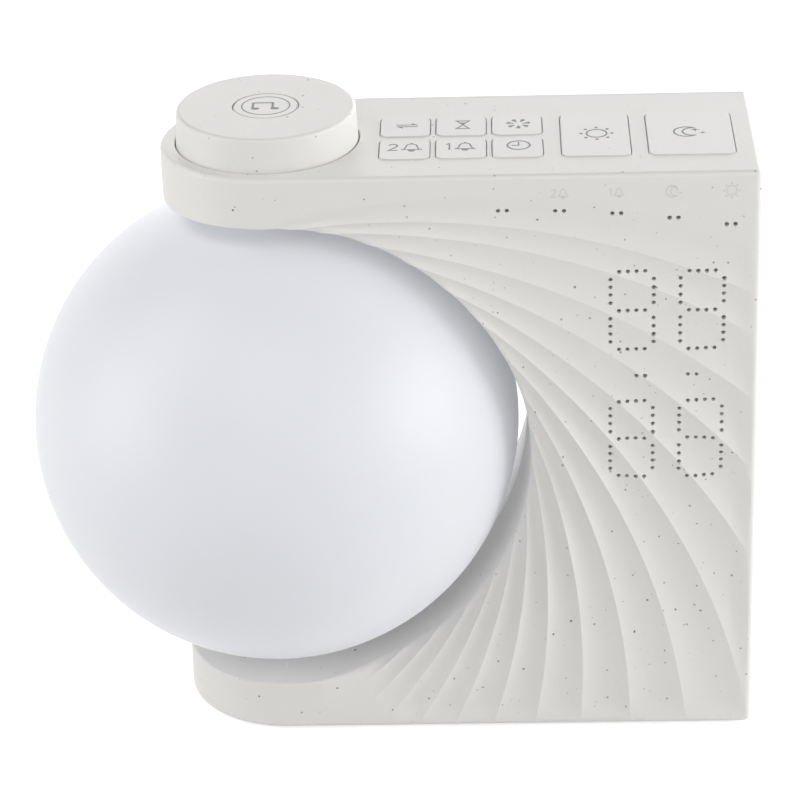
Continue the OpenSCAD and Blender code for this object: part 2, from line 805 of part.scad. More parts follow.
// Cone with its rolled surround, dust cap and voice coil
module speaker_cone() {
    r = speaker_r - 3.9;
    color([0.3, 0.3, 0.32]) place() at_speaker() translate([0, 0, gasket_t]) rotate_extrude()
        polygon([[0, 2.2], [4.6, 3.6], [5, 6.6], [r - 2.8, 1.4], [r - 1.4, 0.2], [r, 0.5],
                 [r, 0.9], [r - 1.4, 0.6], [r - 2.7, 1.8], [4.9, 7.4], [4.9, 8.6], [4.5, 8.6], [4.5, 4], [0, 2.6]]);
}

module speaker_magnet() {
    color(steel) place() at_speaker() translate([0, 0, gasket_t + basket_l]) difference() {
        cylinder(r = 11.5, h = magnet_l);
        translate([0, 0, -over]) cylinder(r = 1.5, h = magnet_l + 2 * over);
    }
}

// ----------------------------------------------------------------- encoder

post_r = rotor_r - 3.4;
module encoder_body() {
    color([0.3, 0.32, 0.34]) place() translate([0, 0, recess_z]) difference() {
        cylinder(r = rotor_r + 3.2, h = encoder_h);
        translate([0, 0, 0.7]) difference() {
            cylinder(r = rotor_r + 0.06, h = encoder_h);
            translate([0, 0, -over]) cylinder(r = post_r, h = encoder_h - 0.9 + over);
        }
    }
}

module button_switch() {
    color([0.12, 0.12, 0.13]) place() translate([0, 0, recess_z + encoder_h - 0.2]) {
        cylinder(r = 3, h = 1);
        cylinder(r = 1.3, h = 1.4);
    }
}
button_switch_top = recess_z + encoder_h + 1.2;

module encoder_rotor() {
    color("white") place() translate([0, 0, recess_z + 0.8]) difference() {
        cylinder(r = rotor_r, h = rotor_top - recess_z - 0.8);
        translate([0, 0, -over]) cylinder(r = post_r + 0.35, h = encoder_h + 3);
    }
}

module knob() {
    roof = knob_top - knob_wall;
    color(shell_white) place() difference() {
        rotate_extrude() {
            polygon([[0, knob_foot], [knob_foot_r, knob_foot], [knob_r, knob_top - knob_edge_r],
                     [0, knob_top - knob_edge_r]]);
            translate([0, knob_top - 2 * knob_edge_r]) square([knob_r - knob_edge_r, 2 * knob_edge_r]);
            translate([knob_r - knob_edge_r, knob_top - knob_edge_r]) circle(knob_edge_r);
        }
        difference() {
            translate([0, 0, knob_foot - over]) cylinder(r = knob_r - knob_wall, h = roof - knob_foot + over);
            translate([0, 0, recess_z + encoder_h + 0.3]) cylinder(r = hub_r, h = knob_h);
        }
        translate([0, 0, knob_foot - over]) cylinder(r = bore_r, h = knob_h + recess_h + 2 * over);
    }
}

module knob_button() {
    color(key_white) place() {
        translate([0, 0, knob_top - button_t]) cylinder(r = button_r - 0.25, h = button_t);
        translate([0, 0, knob_top - button_t]) cylinder(r = button_r, h = button_t - 0.35);
        translate([0, 0, button_switch_top + button_travel + 0.05])
            cylinder(r = 1.8, h = knob_top - button_t - button_switch_top - button_travel - 0.05 + eps);
    }
}

// -------------------------------------------------------------- the keys

module key_mode() key_solid(key_spots[0]);
module key_timer() key_solid(key_spots[1]);
module key_colour() key_solid(key_spots[2]);
module key_alarm_two() key_solid(key_spots[3]);
module key_alarm_one() key_solid(key_spots[4]);
module key_clock() key_solid(key_spots[5]);
module key_light() key_solid(key_spots[6]);
module key_snooze() key_solid(key_spots[7]);

front_shell();
rear_cover();
rubber_feet();
case_screws();
globe();
globe_collar();
lamp_heatsink();
lamp_board();
lamp_leds();
diffuser_film();
light_baffle();
display_leds();
display_board();
key_board();
key_switches();
board_screws();
main_board();
main_board_parts();
power_socket();
cell_holder();
backup_cell();
speaker_gasket();
speaker_frame();
speaker_cone();
speaker_magnet();
encoder_body();
button_switch();
encoder_rotor();
knob();
knob_button();
key_mode();
key_timer();
key_colour();
key_alarm_two();
key_alarm_one();
key_clock();
key_light();
key_snooze();
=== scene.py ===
"""Looks of the sunrise alarm clock: fluted housing, globe, knob, keys, prints, light and camera.

Meshes are built in millimetres in the housing's own frame: x from the axis of the round arm
end, y from the middle of its depth, z from its bottom. Datum.settle puts them in the row frame.
"""

import json
import logging
import math
from dataclasses import dataclass, field
from enum import Enum
from typing import Callable, ClassVar, Sequence

import bmesh
import bpy
from mathutils import Matrix, Vector

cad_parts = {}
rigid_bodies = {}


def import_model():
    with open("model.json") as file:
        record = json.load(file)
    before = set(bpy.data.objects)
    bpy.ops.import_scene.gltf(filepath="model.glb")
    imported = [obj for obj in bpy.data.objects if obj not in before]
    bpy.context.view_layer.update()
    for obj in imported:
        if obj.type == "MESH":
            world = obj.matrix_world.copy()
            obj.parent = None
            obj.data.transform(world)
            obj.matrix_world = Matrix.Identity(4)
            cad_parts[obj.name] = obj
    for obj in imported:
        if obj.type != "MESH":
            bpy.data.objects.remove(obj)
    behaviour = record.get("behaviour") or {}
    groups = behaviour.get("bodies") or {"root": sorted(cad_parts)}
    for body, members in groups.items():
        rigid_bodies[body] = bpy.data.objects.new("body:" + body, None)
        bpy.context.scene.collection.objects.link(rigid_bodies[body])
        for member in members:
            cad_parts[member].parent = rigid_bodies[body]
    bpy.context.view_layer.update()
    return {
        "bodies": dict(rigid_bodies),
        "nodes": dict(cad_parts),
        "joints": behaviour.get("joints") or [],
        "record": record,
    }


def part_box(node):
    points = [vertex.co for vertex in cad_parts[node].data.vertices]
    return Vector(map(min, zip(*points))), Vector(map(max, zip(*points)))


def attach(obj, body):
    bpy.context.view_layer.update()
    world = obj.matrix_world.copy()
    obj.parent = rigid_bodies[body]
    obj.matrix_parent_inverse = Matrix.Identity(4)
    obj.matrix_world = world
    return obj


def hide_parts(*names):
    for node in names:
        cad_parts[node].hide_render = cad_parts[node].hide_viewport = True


log = logging.getLogger("alarm_clock")

Point = tuple[float, float, float]
Flat = tuple[float, float]
Colour = tuple[float, float, float]
MILLIMETRE = 0.001

# gaps round the globe, round the collar of its neck and round the knob, millimetres
GLOBE_GAP = 1.2
COLLAR_GAP = 0.6
KNOB_GAP = 0.25


# --------------------------------------------------------------------- meshes


class Cut(Enum):
    """How one closed mesh changes another."""

    REMOVE = "DIFFERENCE"
    ADD = "UNION"
    KEEP = "INTERSECT"


@dataclass
class Solid:
    """A closed mesh in millimetres.

    Args:
        points: its corners.
        faces: corner numbers of each face.
    """

    points: list[Point]
    faces: list[tuple[int, ...]]

    def joined(self, other: "Solid") -> "Solid":
        """Joins this solid with another.

        Args:
            other: the other solid.

        Returns:
            Both as one mesh.
        """
        shift = len(self.points)
        moved = [tuple(i + shift for i in face) for face in other.faces]
        return Solid(self.points + other.points, self.faces + moved)

    def mapped(self, change: Callable[[Point], Point]) -> "Solid":
        """Returns a copy with every corner changed by a function."""
        return Solid([change(p) for p in self.points], list(self.faces))

    def as_object(self, name: str) -> bpy.types.Object:
        """Makes a scene object of the solid, still in millimetres.

        Args:
            name: name of the object.

        Returns:
            The new object, with its faces turned outwards.
        """
        mesh = bpy.data.meshes.new(name)
        mesh.from_pydata(self.points, [], self.faces)
        work = bmesh.new()
        work.from_mesh(mesh)
        bmesh.ops.recalc_face_normals(work, faces=work.faces)
        work.to_mesh(mesh)
        work.free()
        obj = bpy.data.objects.new(name, mesh)
        bpy.context.scene.collection.objects.link(obj)
        return obj


def loft(rings: Sequence[Sequence[Point]], closed: bool = False) -> Solid:
    """Joins rings of equal length with a skin.

    Args:
        rings: the cross-sections in order.
        closed: True joins the last ring to the first, False caps both ends.

    Returns:
        The closed solid.
    """
    count = len(rings[0])
    last = (len(rings) - 1) * count
    faces: list[tuple[int, ...]] = []
    for k in range(len(rings) if closed else len(rings) - 1):
        low, high = k * count, ((k + 1) % len(rings)) * count
        for i in range(count):
            j = (i + 1) % count
            faces.append((low + i, low + j, high + j, high + i))
    if not closed:
        faces += [tuple(reversed(range(count))), tuple(range(last, last + count))]
    return Solid([p for ring in rings for p in ring], faces)


def ramp(value: float) -> float:
    """Returns a smooth step from 0 to 1 as value goes from 0 to 1."""
    t = min(max(value, 0.0), 1.0)
    return t * t * (3 - 2 * t)


def looked_up(rows: Sequence[Sequence[float]], key: float) -> tuple[float, ...]:
    """Blends the values of a table.

    Args:
        rows: its rows, each a key and values, in the order of the keys.
        key: where it is read.

    Returns:
        The values there, those of the first or last row beyond its ends.
    """
    for low, high in zip(rows, rows[1:]):
        if key <= high[0]:
            share = min(max((key - low[0]) / (high[0] - low[0]), 0.0), 1.0)
            return tuple(a + (b - a) * share for a, b in zip(low[1:], high[1:]))
    return tuple(rows[-1][1:])


def towards(azimuth: float, elevation: float) -> Vector:
    """Returns the direction from the object to where something stands.

    Args:
        azimuth: degrees from the front, to the right.
        elevation: degrees above the horizon.

    Returns:
        The direction, of length 1.
    """
    az, el = math.radians(azimuth), math.radians(elevation)
    return Vector((math.sin(az) * math.cos(el), -math.cos(az) * math.cos(el), math.sin(el)))


def circle(radius: float, steps: int, start: float = 0.0) -> list[Flat]:
    """Returns the points of a circle about 0, from an angle in degrees."""
    angles = [math.radians(start + 360 * i / steps) for i in range(steps)]
    return [(radius * math.cos(a), radius * math.sin(a)) for a in angles]


def arc(centre: Flat, radius: float, start: float, end: float, steps: int) -> list[Flat]:
    """Returns points on an arc, both ends included.

    Args:
        centre: its centre.
        radius: its radius.
        start: first angle, degrees.
        end: last angle, degrees.
        steps: number of spans.

    Returns:
        The steps + 1 points.
    """
    angles = [math.radians(start + (end - start) * i / steps) for i in range(steps + 1)]
    return [(centre[0] + radius * math.cos(a), centre[1] + radius * math.sin(a)) for a in angles]


def turned(profile: Sequence[Flat], steps: int, at: Flat = (0.0, 0.0), closed: bool = False) -> Solid:
    """Turns a profile of (radius, height) about an upright axis.

    Args:
        profile: its points, from the bottom up.
        steps: points round the axis.
        at: place of the axis.
        closed: True where the profile is a loop round a ring-shaped solid.

    Returns:
        The solid.
    """
    rings = [[(at[0] + x, at[1] + y, z) for x, y in circle(r, steps)] for r, z in profile]
    return loft(rings, closed)


def rounded_profile(low: float, high: float, radius: float, steps: int = 6) -> list[Flat]:
    """Draws a side that rounds over at its top edge.

    Args:
        low: height of its lower end.
        high: height of its top.
        radius: radius of the edge.
        steps: spans round the edge.

    Returns:
        Points (inset, height), from the bottom up.
    """
    top = [(radius * (1 - math.cos(a)), high - radius * (1 - math.sin(a)))
           for a in (math.radians(90 * i / steps) for i in range(steps + 1))]
    return [(0.0, low)] + top


def round_rect(centre: Flat, size: Flat, radius: float, inset: float, steps: int = 8) -> list[Flat]:
    """Outline of a rectangle with round corners, drawn in by an inset.

    Args:
        centre: its middle.
        size: width and depth before the inset.
        radius: corner radius before the inset.
        inset: distance that the outline is drawn in, negative to grow it.
        steps: spans in each corner.

    Returns:
        The points, anticlockwise.
    """
    r = max(radius - inset, 0.05)
    half_w, half_d = size[0] / 2 - inset - r, size[1] / 2 - inset - r
    corners = ((1, 1, 0), (-1, 1, 90), (-1, -1, 180), (1, -1, 270))
    points: list[Flat] = []
    for sx, sy, start in corners:
        points += arc((centre[0] + sx * half_w, centre[1] + sy * half_d), r, start, start + 90, steps)
    return points


def copied(node: str, name: str) -> bpy.types.Object:
    """Makes a loose copy of a piece of the frame, in metres.

    Args:
        node: its node.
        name: name of the copy.

    Returns:
        The copy.
    """
    source = bpy.data.objects[node]
    obj = bpy.data.objects.new(name, source.data.copy())
    bpy.context.scene.collection.objects.link(obj)
    obj.data.transform(source.matrix_world)
    work = bmesh.new()
    work.from_mesh(obj.data)
    bmesh.ops.remove_doubles(work, verts=work.verts, dist=1e-6)
    work.to_mesh(obj.data)
    work.free()
    return obj


def baked(obj: bpy.types.Object) -> bpy.types.Object:
    """Applies an object's modifiers to its mesh.

    Args:
        obj: the object.

    Returns:
        The same object.
    """
    bpy.context.view_layer.update()
    graph = bpy.context.evaluated_depsgraph_get()
    mesh = bpy.data.meshes.new_from_object(obj.evaluated_get(graph))
    old = obj.data
    obj.modifiers.clear()
    obj.data = mesh
    bpy.data.meshes.remove(old)
    mesh.name = obj.name
    return obj


def combined(obj: bpy.types.Object, how: Cut, *tools: bpy.types.Object) -> bpy.types.Object:
    """Changes an object by other closed meshes, which are used up.

    Args:
        obj: the object that is changed.
        how: what the tools do to it.
        tools: the other meshes.

    Returns:
        The changed object.
    """
    for tool in tools:
        modifier = obj.modifiers.new("tool", "BOOLEAN")
        modifier.operation = how.value
        modifier.solver = "MANIFOLD"
        modifier.object = tool
        baked(obj)
        bpy.data.objects.remove(tool)
    return obj


def smoothed(obj: bpy.types.Object, angle: float = 30.0) -> bpy.types.Object:
    """Shades an object smooth, with flat faces kept flat.

    Args:
        obj: the object.
        angle: angle from which an edge stays sharp, degrees.

    Returns:
        The same object.
    """
    obj.data.shade_smooth()
    obj.data.set_sharp_from_angle(angle=math.radians(angle))
    modifier = obj.modifiers.new("even", "WEIGHTED_NORMAL")
    modifier.keep_sharp = True
    return baked(obj)


@dataclass(frozen=True)
class Datum:
    """Where the housing's own frame lies in the row frame.

    Args:
        axis_x: place of the arm axis, millimetres.
        foot: height of the housing's bottom, millimetres.
    """

    axis_x: float
    foot: float

    def settle(self, obj: bpy.types.Object) -> bpy.types.Object:
        """Puts an object in the row frame.

        Args:
            obj: the object, in millimetres in the housing's own frame.

        Returns:
            The same object, in metres.
        """
        move = Matrix.Translation(Vector((self.axis_x, 0.0, self.foot)) * MILLIMETRE)
        obj.data.transform(move @ Matrix.Scale(MILLIMETRE, 4))
        return obj

    def local_box(self, node: str) -> tuple[Vector, Vector]:
        """Measures a node in the housing's own frame.

        Args:
            node: the node.

        Returns:
            Its lowest and its highest corner, millimetres.
        """
        shift = Vector((self.axis_x, 0.0, self.foot))
        low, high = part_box(node)
        return low / MILLIMETRE - shift, high / MILLIMETRE - shift


# ------------------------------------------------------------------ materials


class Nodes:
    """Short calls for the nodes of one material."""

    def __init__(self, name: str) -> None:
        """Starts a material.

        Args:
            name: its name.
        """
        self.material = bpy.data.materials.new(name)
        self.material.use_nodes = True
        self.tree = self.material.node_tree
        self.shader = self.tree.nodes["Principled BSDF"]
        self.place = self.add("ShaderNodeTexCoord").outputs["Object"]

    def add(self, kind: str, **settings: object) -> bpy.types.Node:
        """Adds a node.

        Args:
            kind: its type.
            settings: properties that it gets.

        Returns:
            The node.
        """
        node = self.tree.nodes.new(kind)
        for key, value in settings.items():
            setattr(node, key, value)
        return node

    def link(self, source: bpy.types.NodeSocket, target: bpy.types.NodeSocket) -> None:
        """Links two sockets."""
        self.tree.links.new(source, target)

    def set(self, **values: object) -> None:
        """Sets constant values on the shader's own sockets, with _ for a space."""
        for key, value in values.items():
            self.shader.inputs[key.replace("_", " ")].default_value = value

    def maths(self, how: str, first: object, second: object = 0.0,
              clamp: bool = False) -> bpy.types.NodeSocket:
        """Adds a math node and returns its result.

        Args:
            how: operation.
            first: socket or number.
            second: socket or number.
            clamp: True to keep the result from 0 to 1.

        Returns:
            The output socket.
        """
        node = self.add("ShaderNodeMath", operation=how, use_clamp=clamp)
        for socket, value in zip(node.inputs, (first, second)):
            if isinstance(value, bpy.types.NodeSocket):
                self.link(value, socket)
            else:
                socket.default_value = value
        return node.outputs[0]

    def scaled(self, value: bpy.types.NodeSocket, factor: float, plus: float) -> bpy.types.NodeSocket:
        """Multiplies a value and adds a constant.

        Args:
            value: the value.
            factor: what it is multiplied by.
            plus: what is added.

        Returns:
            The output socket.
        """
        result = self.maths("MULTIPLY_ADD", value, factor)
        result.node.inputs[2].default_value = plus
        return result

    def noise(self, size_mm: float, detail: float = 2.0, rough: float = 0.5) -> bpy.types.Node:
        """Adds a noise texture.

        Args:
            size_mm: width of its lumps.
            detail: levels of finer noise.
            rough: strength of those levels.

        Returns:
            The node.
        """
        node = self.add("ShaderNodeTexNoise")
        node.inputs["Scale"].default_value = 1 / (size_mm * MILLIMETRE)
        node.inputs["Detail"].default_value = detail
        node.inputs["Roughness"].default_value = rough
        self.link(self.place, node.inputs["Vector"])
        return node

    def blend(self, factor: bpy.types.NodeSocket, low: object, high: object) -> bpy.types.NodeSocket:
        """Mixes two colours.

        Args:
            factor: share of the second.
            low: the first, a socket or a colour.
            high: the second, a socket or a colour.

        Returns:
            The output socket.
        """
        node = self.add("ShaderNodeMix", data_type="RGBA")
        self.link(factor, node.inputs["Factor"])
        for name, value in (("A", low), ("B", high)):
            socket = [s for s in node.inputs if s.name == name and s.type == "RGBA"][0]
            if isinstance(value, bpy.types.NodeSocket):
                self.link(value, socket)
            else:
                socket.default_value = (*value, 1.0)
        return [s for s in node.outputs if s.type == "RGBA"][0]

    def bump(self, height: bpy.types.NodeSocket, strength: float, depth_mm: float) -> None:
        """Gives the shader a bump.

        Args:
            height: its height, from 0 to 1.
            strength: share of it that is used.
            depth_mm: real depth of a height of 1.
        """
        node = self.add("ShaderNodeBump")
        node.inputs["Strength"].default_value = strength
        node.inputs["Distance"].default_value = depth_mm * MILLIMETRE
        self.link(height, node.inputs["Height"])
        self.link(node.outputs["Normal"], self.shader.inputs["Normal"])


# cell width, mean radius, share of cells that hold a speck, colour
SPECK_SIZES = (
    (3.4, 0.36, 0.75, (0.16, 0.13, 0.10)),
    (2.4, 0.24, 0.50, (0.30, 0.27, 0.24)),
)


@dataclass(frozen=True)
class Grained:
    """A moulded or coated surface with slight clouding, a fine grain and optional specks.

    Args:
        name: name of the material.
        colour: its mean colour, linear.
        roughness: its mean roughness.
        metallic: 1 for metal.
        cloud: share by which the colour varies over a few centimetres.
        cloud_mm: width of that clouding.
        grain_mm: width of the grain.
        grain_depth_mm: depth of the grain.
        specks: how dark the specks are, 0 for none.
        subsurface: share of light that spreads inside.
        spread_mm: how far it spreads.
        glow: strength of a painted glow: emission in the piece's own colour that brightens and evens out its
            shading, in place of light falling on it.
    """

    name: str
    colour: Colour
    roughness: float = 0.5
    metallic: float = 0.0
    cloud: float = 0.02
    cloud_mm: float = 18.0
    grain_mm: float = 0.35
    grain_depth_mm: float = 0.01
    specks: float = 0.0
    subsurface: float = 0.0
    spread_mm: float = 2.0
    glow: float = 0.0

    def material(self) -> bpy.types.Material:
        """Builds the material.

        Returns:
            The material, with grain, specks and bump.
        """
        nodes = Nodes(self.name)
        nodes.set(Metallic=self.metallic)
        darker = tuple(c * (1 - self.cloud) for c in self.colour)
        lighter = tuple(min(1.0, c * (1 + self.cloud)) for c in self.colour)
        clouds = nodes.noise(self.cloud_mm, 3.0).outputs["Fac"]
        colour = nodes.blend(clouds, darker, lighter)
        if self.specks > 0:
            colour = self._specked(nodes, colour)
        nodes.link(colour, nodes.shader.inputs["Base Color"])
        grain = nodes.noise(self.grain_mm, 2.0, 0.6).outputs["Fac"]
        unevenness = nodes.scaled(grain, 0.16, self.roughness - 0.08)
        nodes.link(unevenness, nodes.shader.inputs["Roughness"])
        nodes.bump(grain, 0.6, self.grain_depth_mm)
        if self.subsurface > 0:
            nodes.set(Subsurface_Weight=self.subsurface, Subsurface_Radius=(1.0, 0.9, 0.8),
                      Subsurface_Scale=self.spread_mm * MILLIMETRE)
        # painted light: emission in the piece's own colour lifts its shaded sides and flattens its shading
        if self.glow > 0:
            nodes.set(Emission_Color=(*self.colour, 1.0), Emission_Strength=self.glow)
        return nodes.material

    def _specked(self, nodes: Nodes, colour: bpy.types.NodeSocket) -> bpy.types.NodeSocket:
        """Lays small and larger mineral specks over a colour.

        Args:
            nodes: the material's nodes.
            colour: the colour without specks.

        Returns:
            The colour with them.
        """
        ragged = nodes.noise(0.45, 1.0)
        offset = nodes.add("ShaderNodeVectorMath", operation="MULTIPLY_ADD")
        nodes.link(ragged.outputs["Color"], offset.inputs[0])
        offset.inputs[1].default_value = (0.0004,) * 3
        nodes.link(nodes.place, offset.inputs[2])
        for cell_mm, radius_mm, share, tint in SPECK_SIZES:
            cells = nodes.add("ShaderNodeTexVoronoi")
            cells.inputs["Scale"].default_value = 1 / (cell_mm * MILLIMETRE)
            nodes.link(offset.outputs[0], cells.inputs["Vector"])
            parts = nodes.add("ShaderNodeSeparateColor")
            nodes.link(cells.outputs["Color"], parts.inputs[0])
            present = nodes.maths("GREATER_THAN", parts.outputs[0], 1 - share)
            reach = nodes.scaled(parts.outputs[1], 0.7 * radius_mm / cell_mm, 0.45 * radius_mm / cell_mm)
            inside = nodes.maths("SUBTRACT", reach, cells.outputs["Distance"])
            edge = nodes.maths("MULTIPLY", inside, 7.0 * cell_mm, clamp=True)
            strong = nodes.maths("MULTIPLY", edge, present)
            faded = nodes.maths("MULTIPLY", strong, nodes.scaled(parts.outputs[2], 0.6, 0.4))
            mask = nodes.maths("MULTIPLY", faded, self.specks)
            colour = nodes.blend(mask, colour, tint)
        return colour


@dataclass(frozen=True)
class InkAndPaintedShade:
    """Printed ink, slightly uneven at its scale; also the grey painted shade of the front's raised signs.

    Args:
        name: name of the material.
        colour: its colour, linear.
    """

    name: str
    colour: Colour

    def material(self) -> bpy.types.Material:
        """Builds the material.

        Returns:
            The material.
        """
        nodes = Nodes(self.name)
        mottle = nodes.noise(0.25, 3.0).outputs["Fac"]
        thin = tuple(min(1.0, c * 1.25) for c in self.colour)
        nodes.link(nodes.blend(mottle, self.colour, thin), nodes.shader.inputs["Base Color"])
        nodes.set(Roughness=0.6, Metallic=0.0)
        return nodes.material


WHITE_SHELL = Grained("moulded_white", (0.83, 0.815, 0.79), 0.46, specks=1.0, cloud=0.012)
WHITE_KNOB = Grained("moulded_white_knob", (0.83, 0.815, 0.79), 0.46, specks=0.9, cloud=0.012)
WHITE_KEYS = Grained("moulded_white_keys", (0.83, 0.82, 0.80), 0.44, specks=0.35, cloud=0.008)
# the globe's glow is painted light: its lamp is off, and the emission evens out its shading and lightens the
# pocket round it
FROSTED = Grained("frosted_globe", (0.675, 0.69, 0.725), 0.42, cloud=0.006, cloud_mm=30.0,
                  grain_mm=0.5, grain_depth_mm=0.004, subsurface=0.25, spread_mm=6.0, glow=0.21)
PRINT_GREY = InkAndPaintedShade("print_grey", (0.22, 0.22, 0.215))
# painted shade: the front's signs are raised in the housing's own colour; this grey stands in for the shade
# that shows them
EMBOSS_PAINTED_SHADE = InkAndPaintedShade("front_mark_painted_shade", (0.6, 0.6, 0.59))
GUIDE_CLEAR = Grained("guide_clear", (0.38, 0.38, 0.39), 0.35)

SLOT_FINISHES: dict[str, Grained] = {
    "shell_white": WHITE_SHELL,
    "knob_white": WHITE_KNOB,
    "key_white": WHITE_KEYS,
    "collar_white": Grained("collar_white", (0.80, 0.80, 0.79), 0.5),
    "globe_frost": FROSTED,
    "foot_rubber": Grained("foot_rubber", (0.035, 0.035, 0.036), 0.8, grain_mm=0.2, grain_depth_mm=0.03),
    "screw_steel": Grained("screw_steel", (0.52, 0.53, 0.55), 0.32, metallic=1.0, grain_mm=0.1),
    "heatsink_aluminium": Grained("heatsink_aluminium", (0.75, 0.76, 0.78), 0.35, metallic=1.0),
    "lamp_board_white": Grained("lamp_board_white", (0.85, 0.85, 0.84), 0.35),
    "led_yellow": Grained("led_yellow", (0.85, 0.68, 0.22), 0.25),
    "film_grey": Grained("film_grey", (0.10, 0.10, 0.10), 0.35),
    "baffle_white": Grained("baffle_white", (0.80, 0.80, 0.79), 0.6),
    "board_green": Grained("board_green", (0.03, 0.16, 0.08), 0.3, cloud=0.1),
    "switch_black": Grained("switch_black", (0.03, 0.03, 0.032), 0.5),
    "chip_black": Grained("chip_black", (0.035, 0.035, 0.038), 0.55),
    "socket_steel": Grained("socket_steel", (0.58, 0.59, 0.61), 0.3, metallic=1.0),
    "cell_steel": Grained("cell_steel", (0.60, 0.61, 0.62), 0.28, metallic=1.0),
    "gasket_black": Grained("gasket_black", (0.03, 0.03, 0.03), 0.9, grain_depth_mm=0.05),
    "basket_grey": Grained("basket_grey", (0.10, 0.10, 0.11), 0.45),
    "cone_black": Grained("cone_black", (0.04, 0.04, 0.043), 0.75, grain_depth_mm=0.04),
    "magnet_grey": Grained("magnet_grey", (0.33, 0.34, 0.36), 0.4, metallic=1.0),
    "encoder_grey": Grained("encoder_grey", (0.09, 0.10, 0.11), 0.5),
    "rotor_white": Grained("rotor_white", (0.78, 0.78, 0.76), 0.45),
}


class Palette:
    """The built materials: one for each slot of the record, the print ink, the grey painted shade of the
    front's signs and the light guide.
    """

    def __init__(self) -> None:
        """Builds every material once."""
        self.by_slot = {slot: finish.material() for slot, finish in SLOT_FINISHES.items()}
        self.ink = PRINT_GREY.material()
        self.clear = GUIDE_CLEAR.material()
        self.mark = EMBOSS_PAINTED_SHADE.material()

    def dress(self, obj: bpy.types.Object, slot: str) -> None:
        """Gives an object the material of a slot of the record.

        Args:
            obj: the object.
            slot: the slot.
        """
        self.coat(obj, self.by_slot[slot])

    @staticmethod
    def coat(obj: bpy.types.Object, material: bpy.types.Material) -> None:
        """Gives an object one material."""
        obj.data.materials.clear()
        obj.data.materials.append(material)

    def dress_frame(self, frame: dict) -> None:
        """Gives every CAD node the material that the record names for it.
        """
        for row in frame["record"]["subparts"]:
            obj = frame["nodes"][row["node"]]
            material = self.by_slot[row["material_slot"]]
            if obj.material_slots:
                for place in obj.material_slots:
                    place.material = material
            else:
                obj.data.materials.append(material)


# -------------------------------------------------------------------- housing


@dataclass(frozen=True)
class Flutes:
    """The rolled rim and the scallops that fan out of it, each between two turned copies of one arc.

    Args:
        first: angle at which the lowest ridge leaves the rim, degrees.
        step: angle between neighbouring ridges, degrees.
        even: number of flutes of that width.
        late: widths of the flutes above them, degrees.
        arc_r: radius of the arc that a ridge follows.
        lead: angle between a ridge and the radius where it leaves the rim, degrees.
        deep_low: depth of a lower flute, 100 mm from the middle of the globe.
        deep_high: depth of an upper flute there.
        deepest: most that a flute may take from the wall.
        near_rim: share by which the flutes are deeper near the rim.
        fade: distance from the outer edges over which the flutes run out.
        skim: least depth between the ends of the fan, which keeps the cutter below the face.
        out: distance by which it stays in front of the face beyond them.
        rolls: rows of (angle, radius of the rolled rim).
        dishes: rows of (angle, slope, width of even slope, full width) of the fall towards the rim.
        across: spans across a flute.
        along: spans along a flute.
    """

    first: float = -72.0
    step: float = 10.0
    even: int = 15
    late: tuple[float, ...] = (6.5, 10.0)
    arc_r: float = 185.6
    lead: float = 13.3
    deep_low: float = 1.15
    deep_high: float = 0.65
    deepest: float = 1.25
    near_rim: float = 0.25
    fade: float = 6.0
    skim: float = 0.004
    out: float = 0.02
    rolls: tuple[Flat, ...] = (
        (-84, 0.5), (-70, 1.4), (0, 1.3), (25, 1.3), (35, 0.9), (45, 1.0), (70, 1.6), (80, 1.2), (90, 0.5))
    dishes: tuple[tuple[float, ...], ...] = (
        (-82, 0.0, 4.0, 16.0), (-70, 0.3, 4.0, 16.0), (-60, 0.36, 4.0, 16.0), (-5, 0.36, 4.0, 16.0),
        (12, 0.34, 3.5, 9.0), (22, 0.18, 0.5, 8.0), (30, 0.0, 0.5, 8.0), (45, 0.0, 0.5, 10.0),
        (60, 0.1, 0.5, 11.0), (72, 0.1, 0.5, 11.0), (84, 0.0, 0.5, 11.0))
    across: int = 14
    along: int = 64

    def columns(self) -> list[tuple[float, float]]:
        """Lists the arcs that the face is built on, closer near a ridge.

        Returns:
            Pairs of the angle at the rim, degrees, and the place across the flute, 0 to 1.
        """
        found = [(-90.0 + 1.5 * i, 0.0) for i in range(5)]
        low = self.first - self.step
        for width in (self.step,) * (self.even + 1) + self.late:
            for i in range(self.across):
                u = (1 - math.cos(math.pi * i / self.across)) / 2
                found.append((low + width * u, u))
            low += width
        return found + [(low, 0.0)]

    def roll(self, angle: float) -> float:
        """Returns the radius of the rolled rim at an angle."""
        return looked_up(self.rolls, angle)[0]

    def fall(self, distance: float, angle: float) -> float:
        """Returns how far the face falls towards the rim.

        Args:
            distance: distance from the rim.
            angle: angle about the globe, degrees.

        Returns:
            The depth below the flat face.
        """
        slope, even, full = looked_up(self.dishes, angle)
        over = min(max(distance, 0.0), full)
        if over < even:
            return slope * ((full + even) / 2 - over)
        return slope * (full - over) ** 2 / (2 * (full - even))

    def end(self) -> float:
        """Returns the angle at which the uppermost ridge leaves the rim."""
        return self.first + self.step * self.even + sum(self.late)


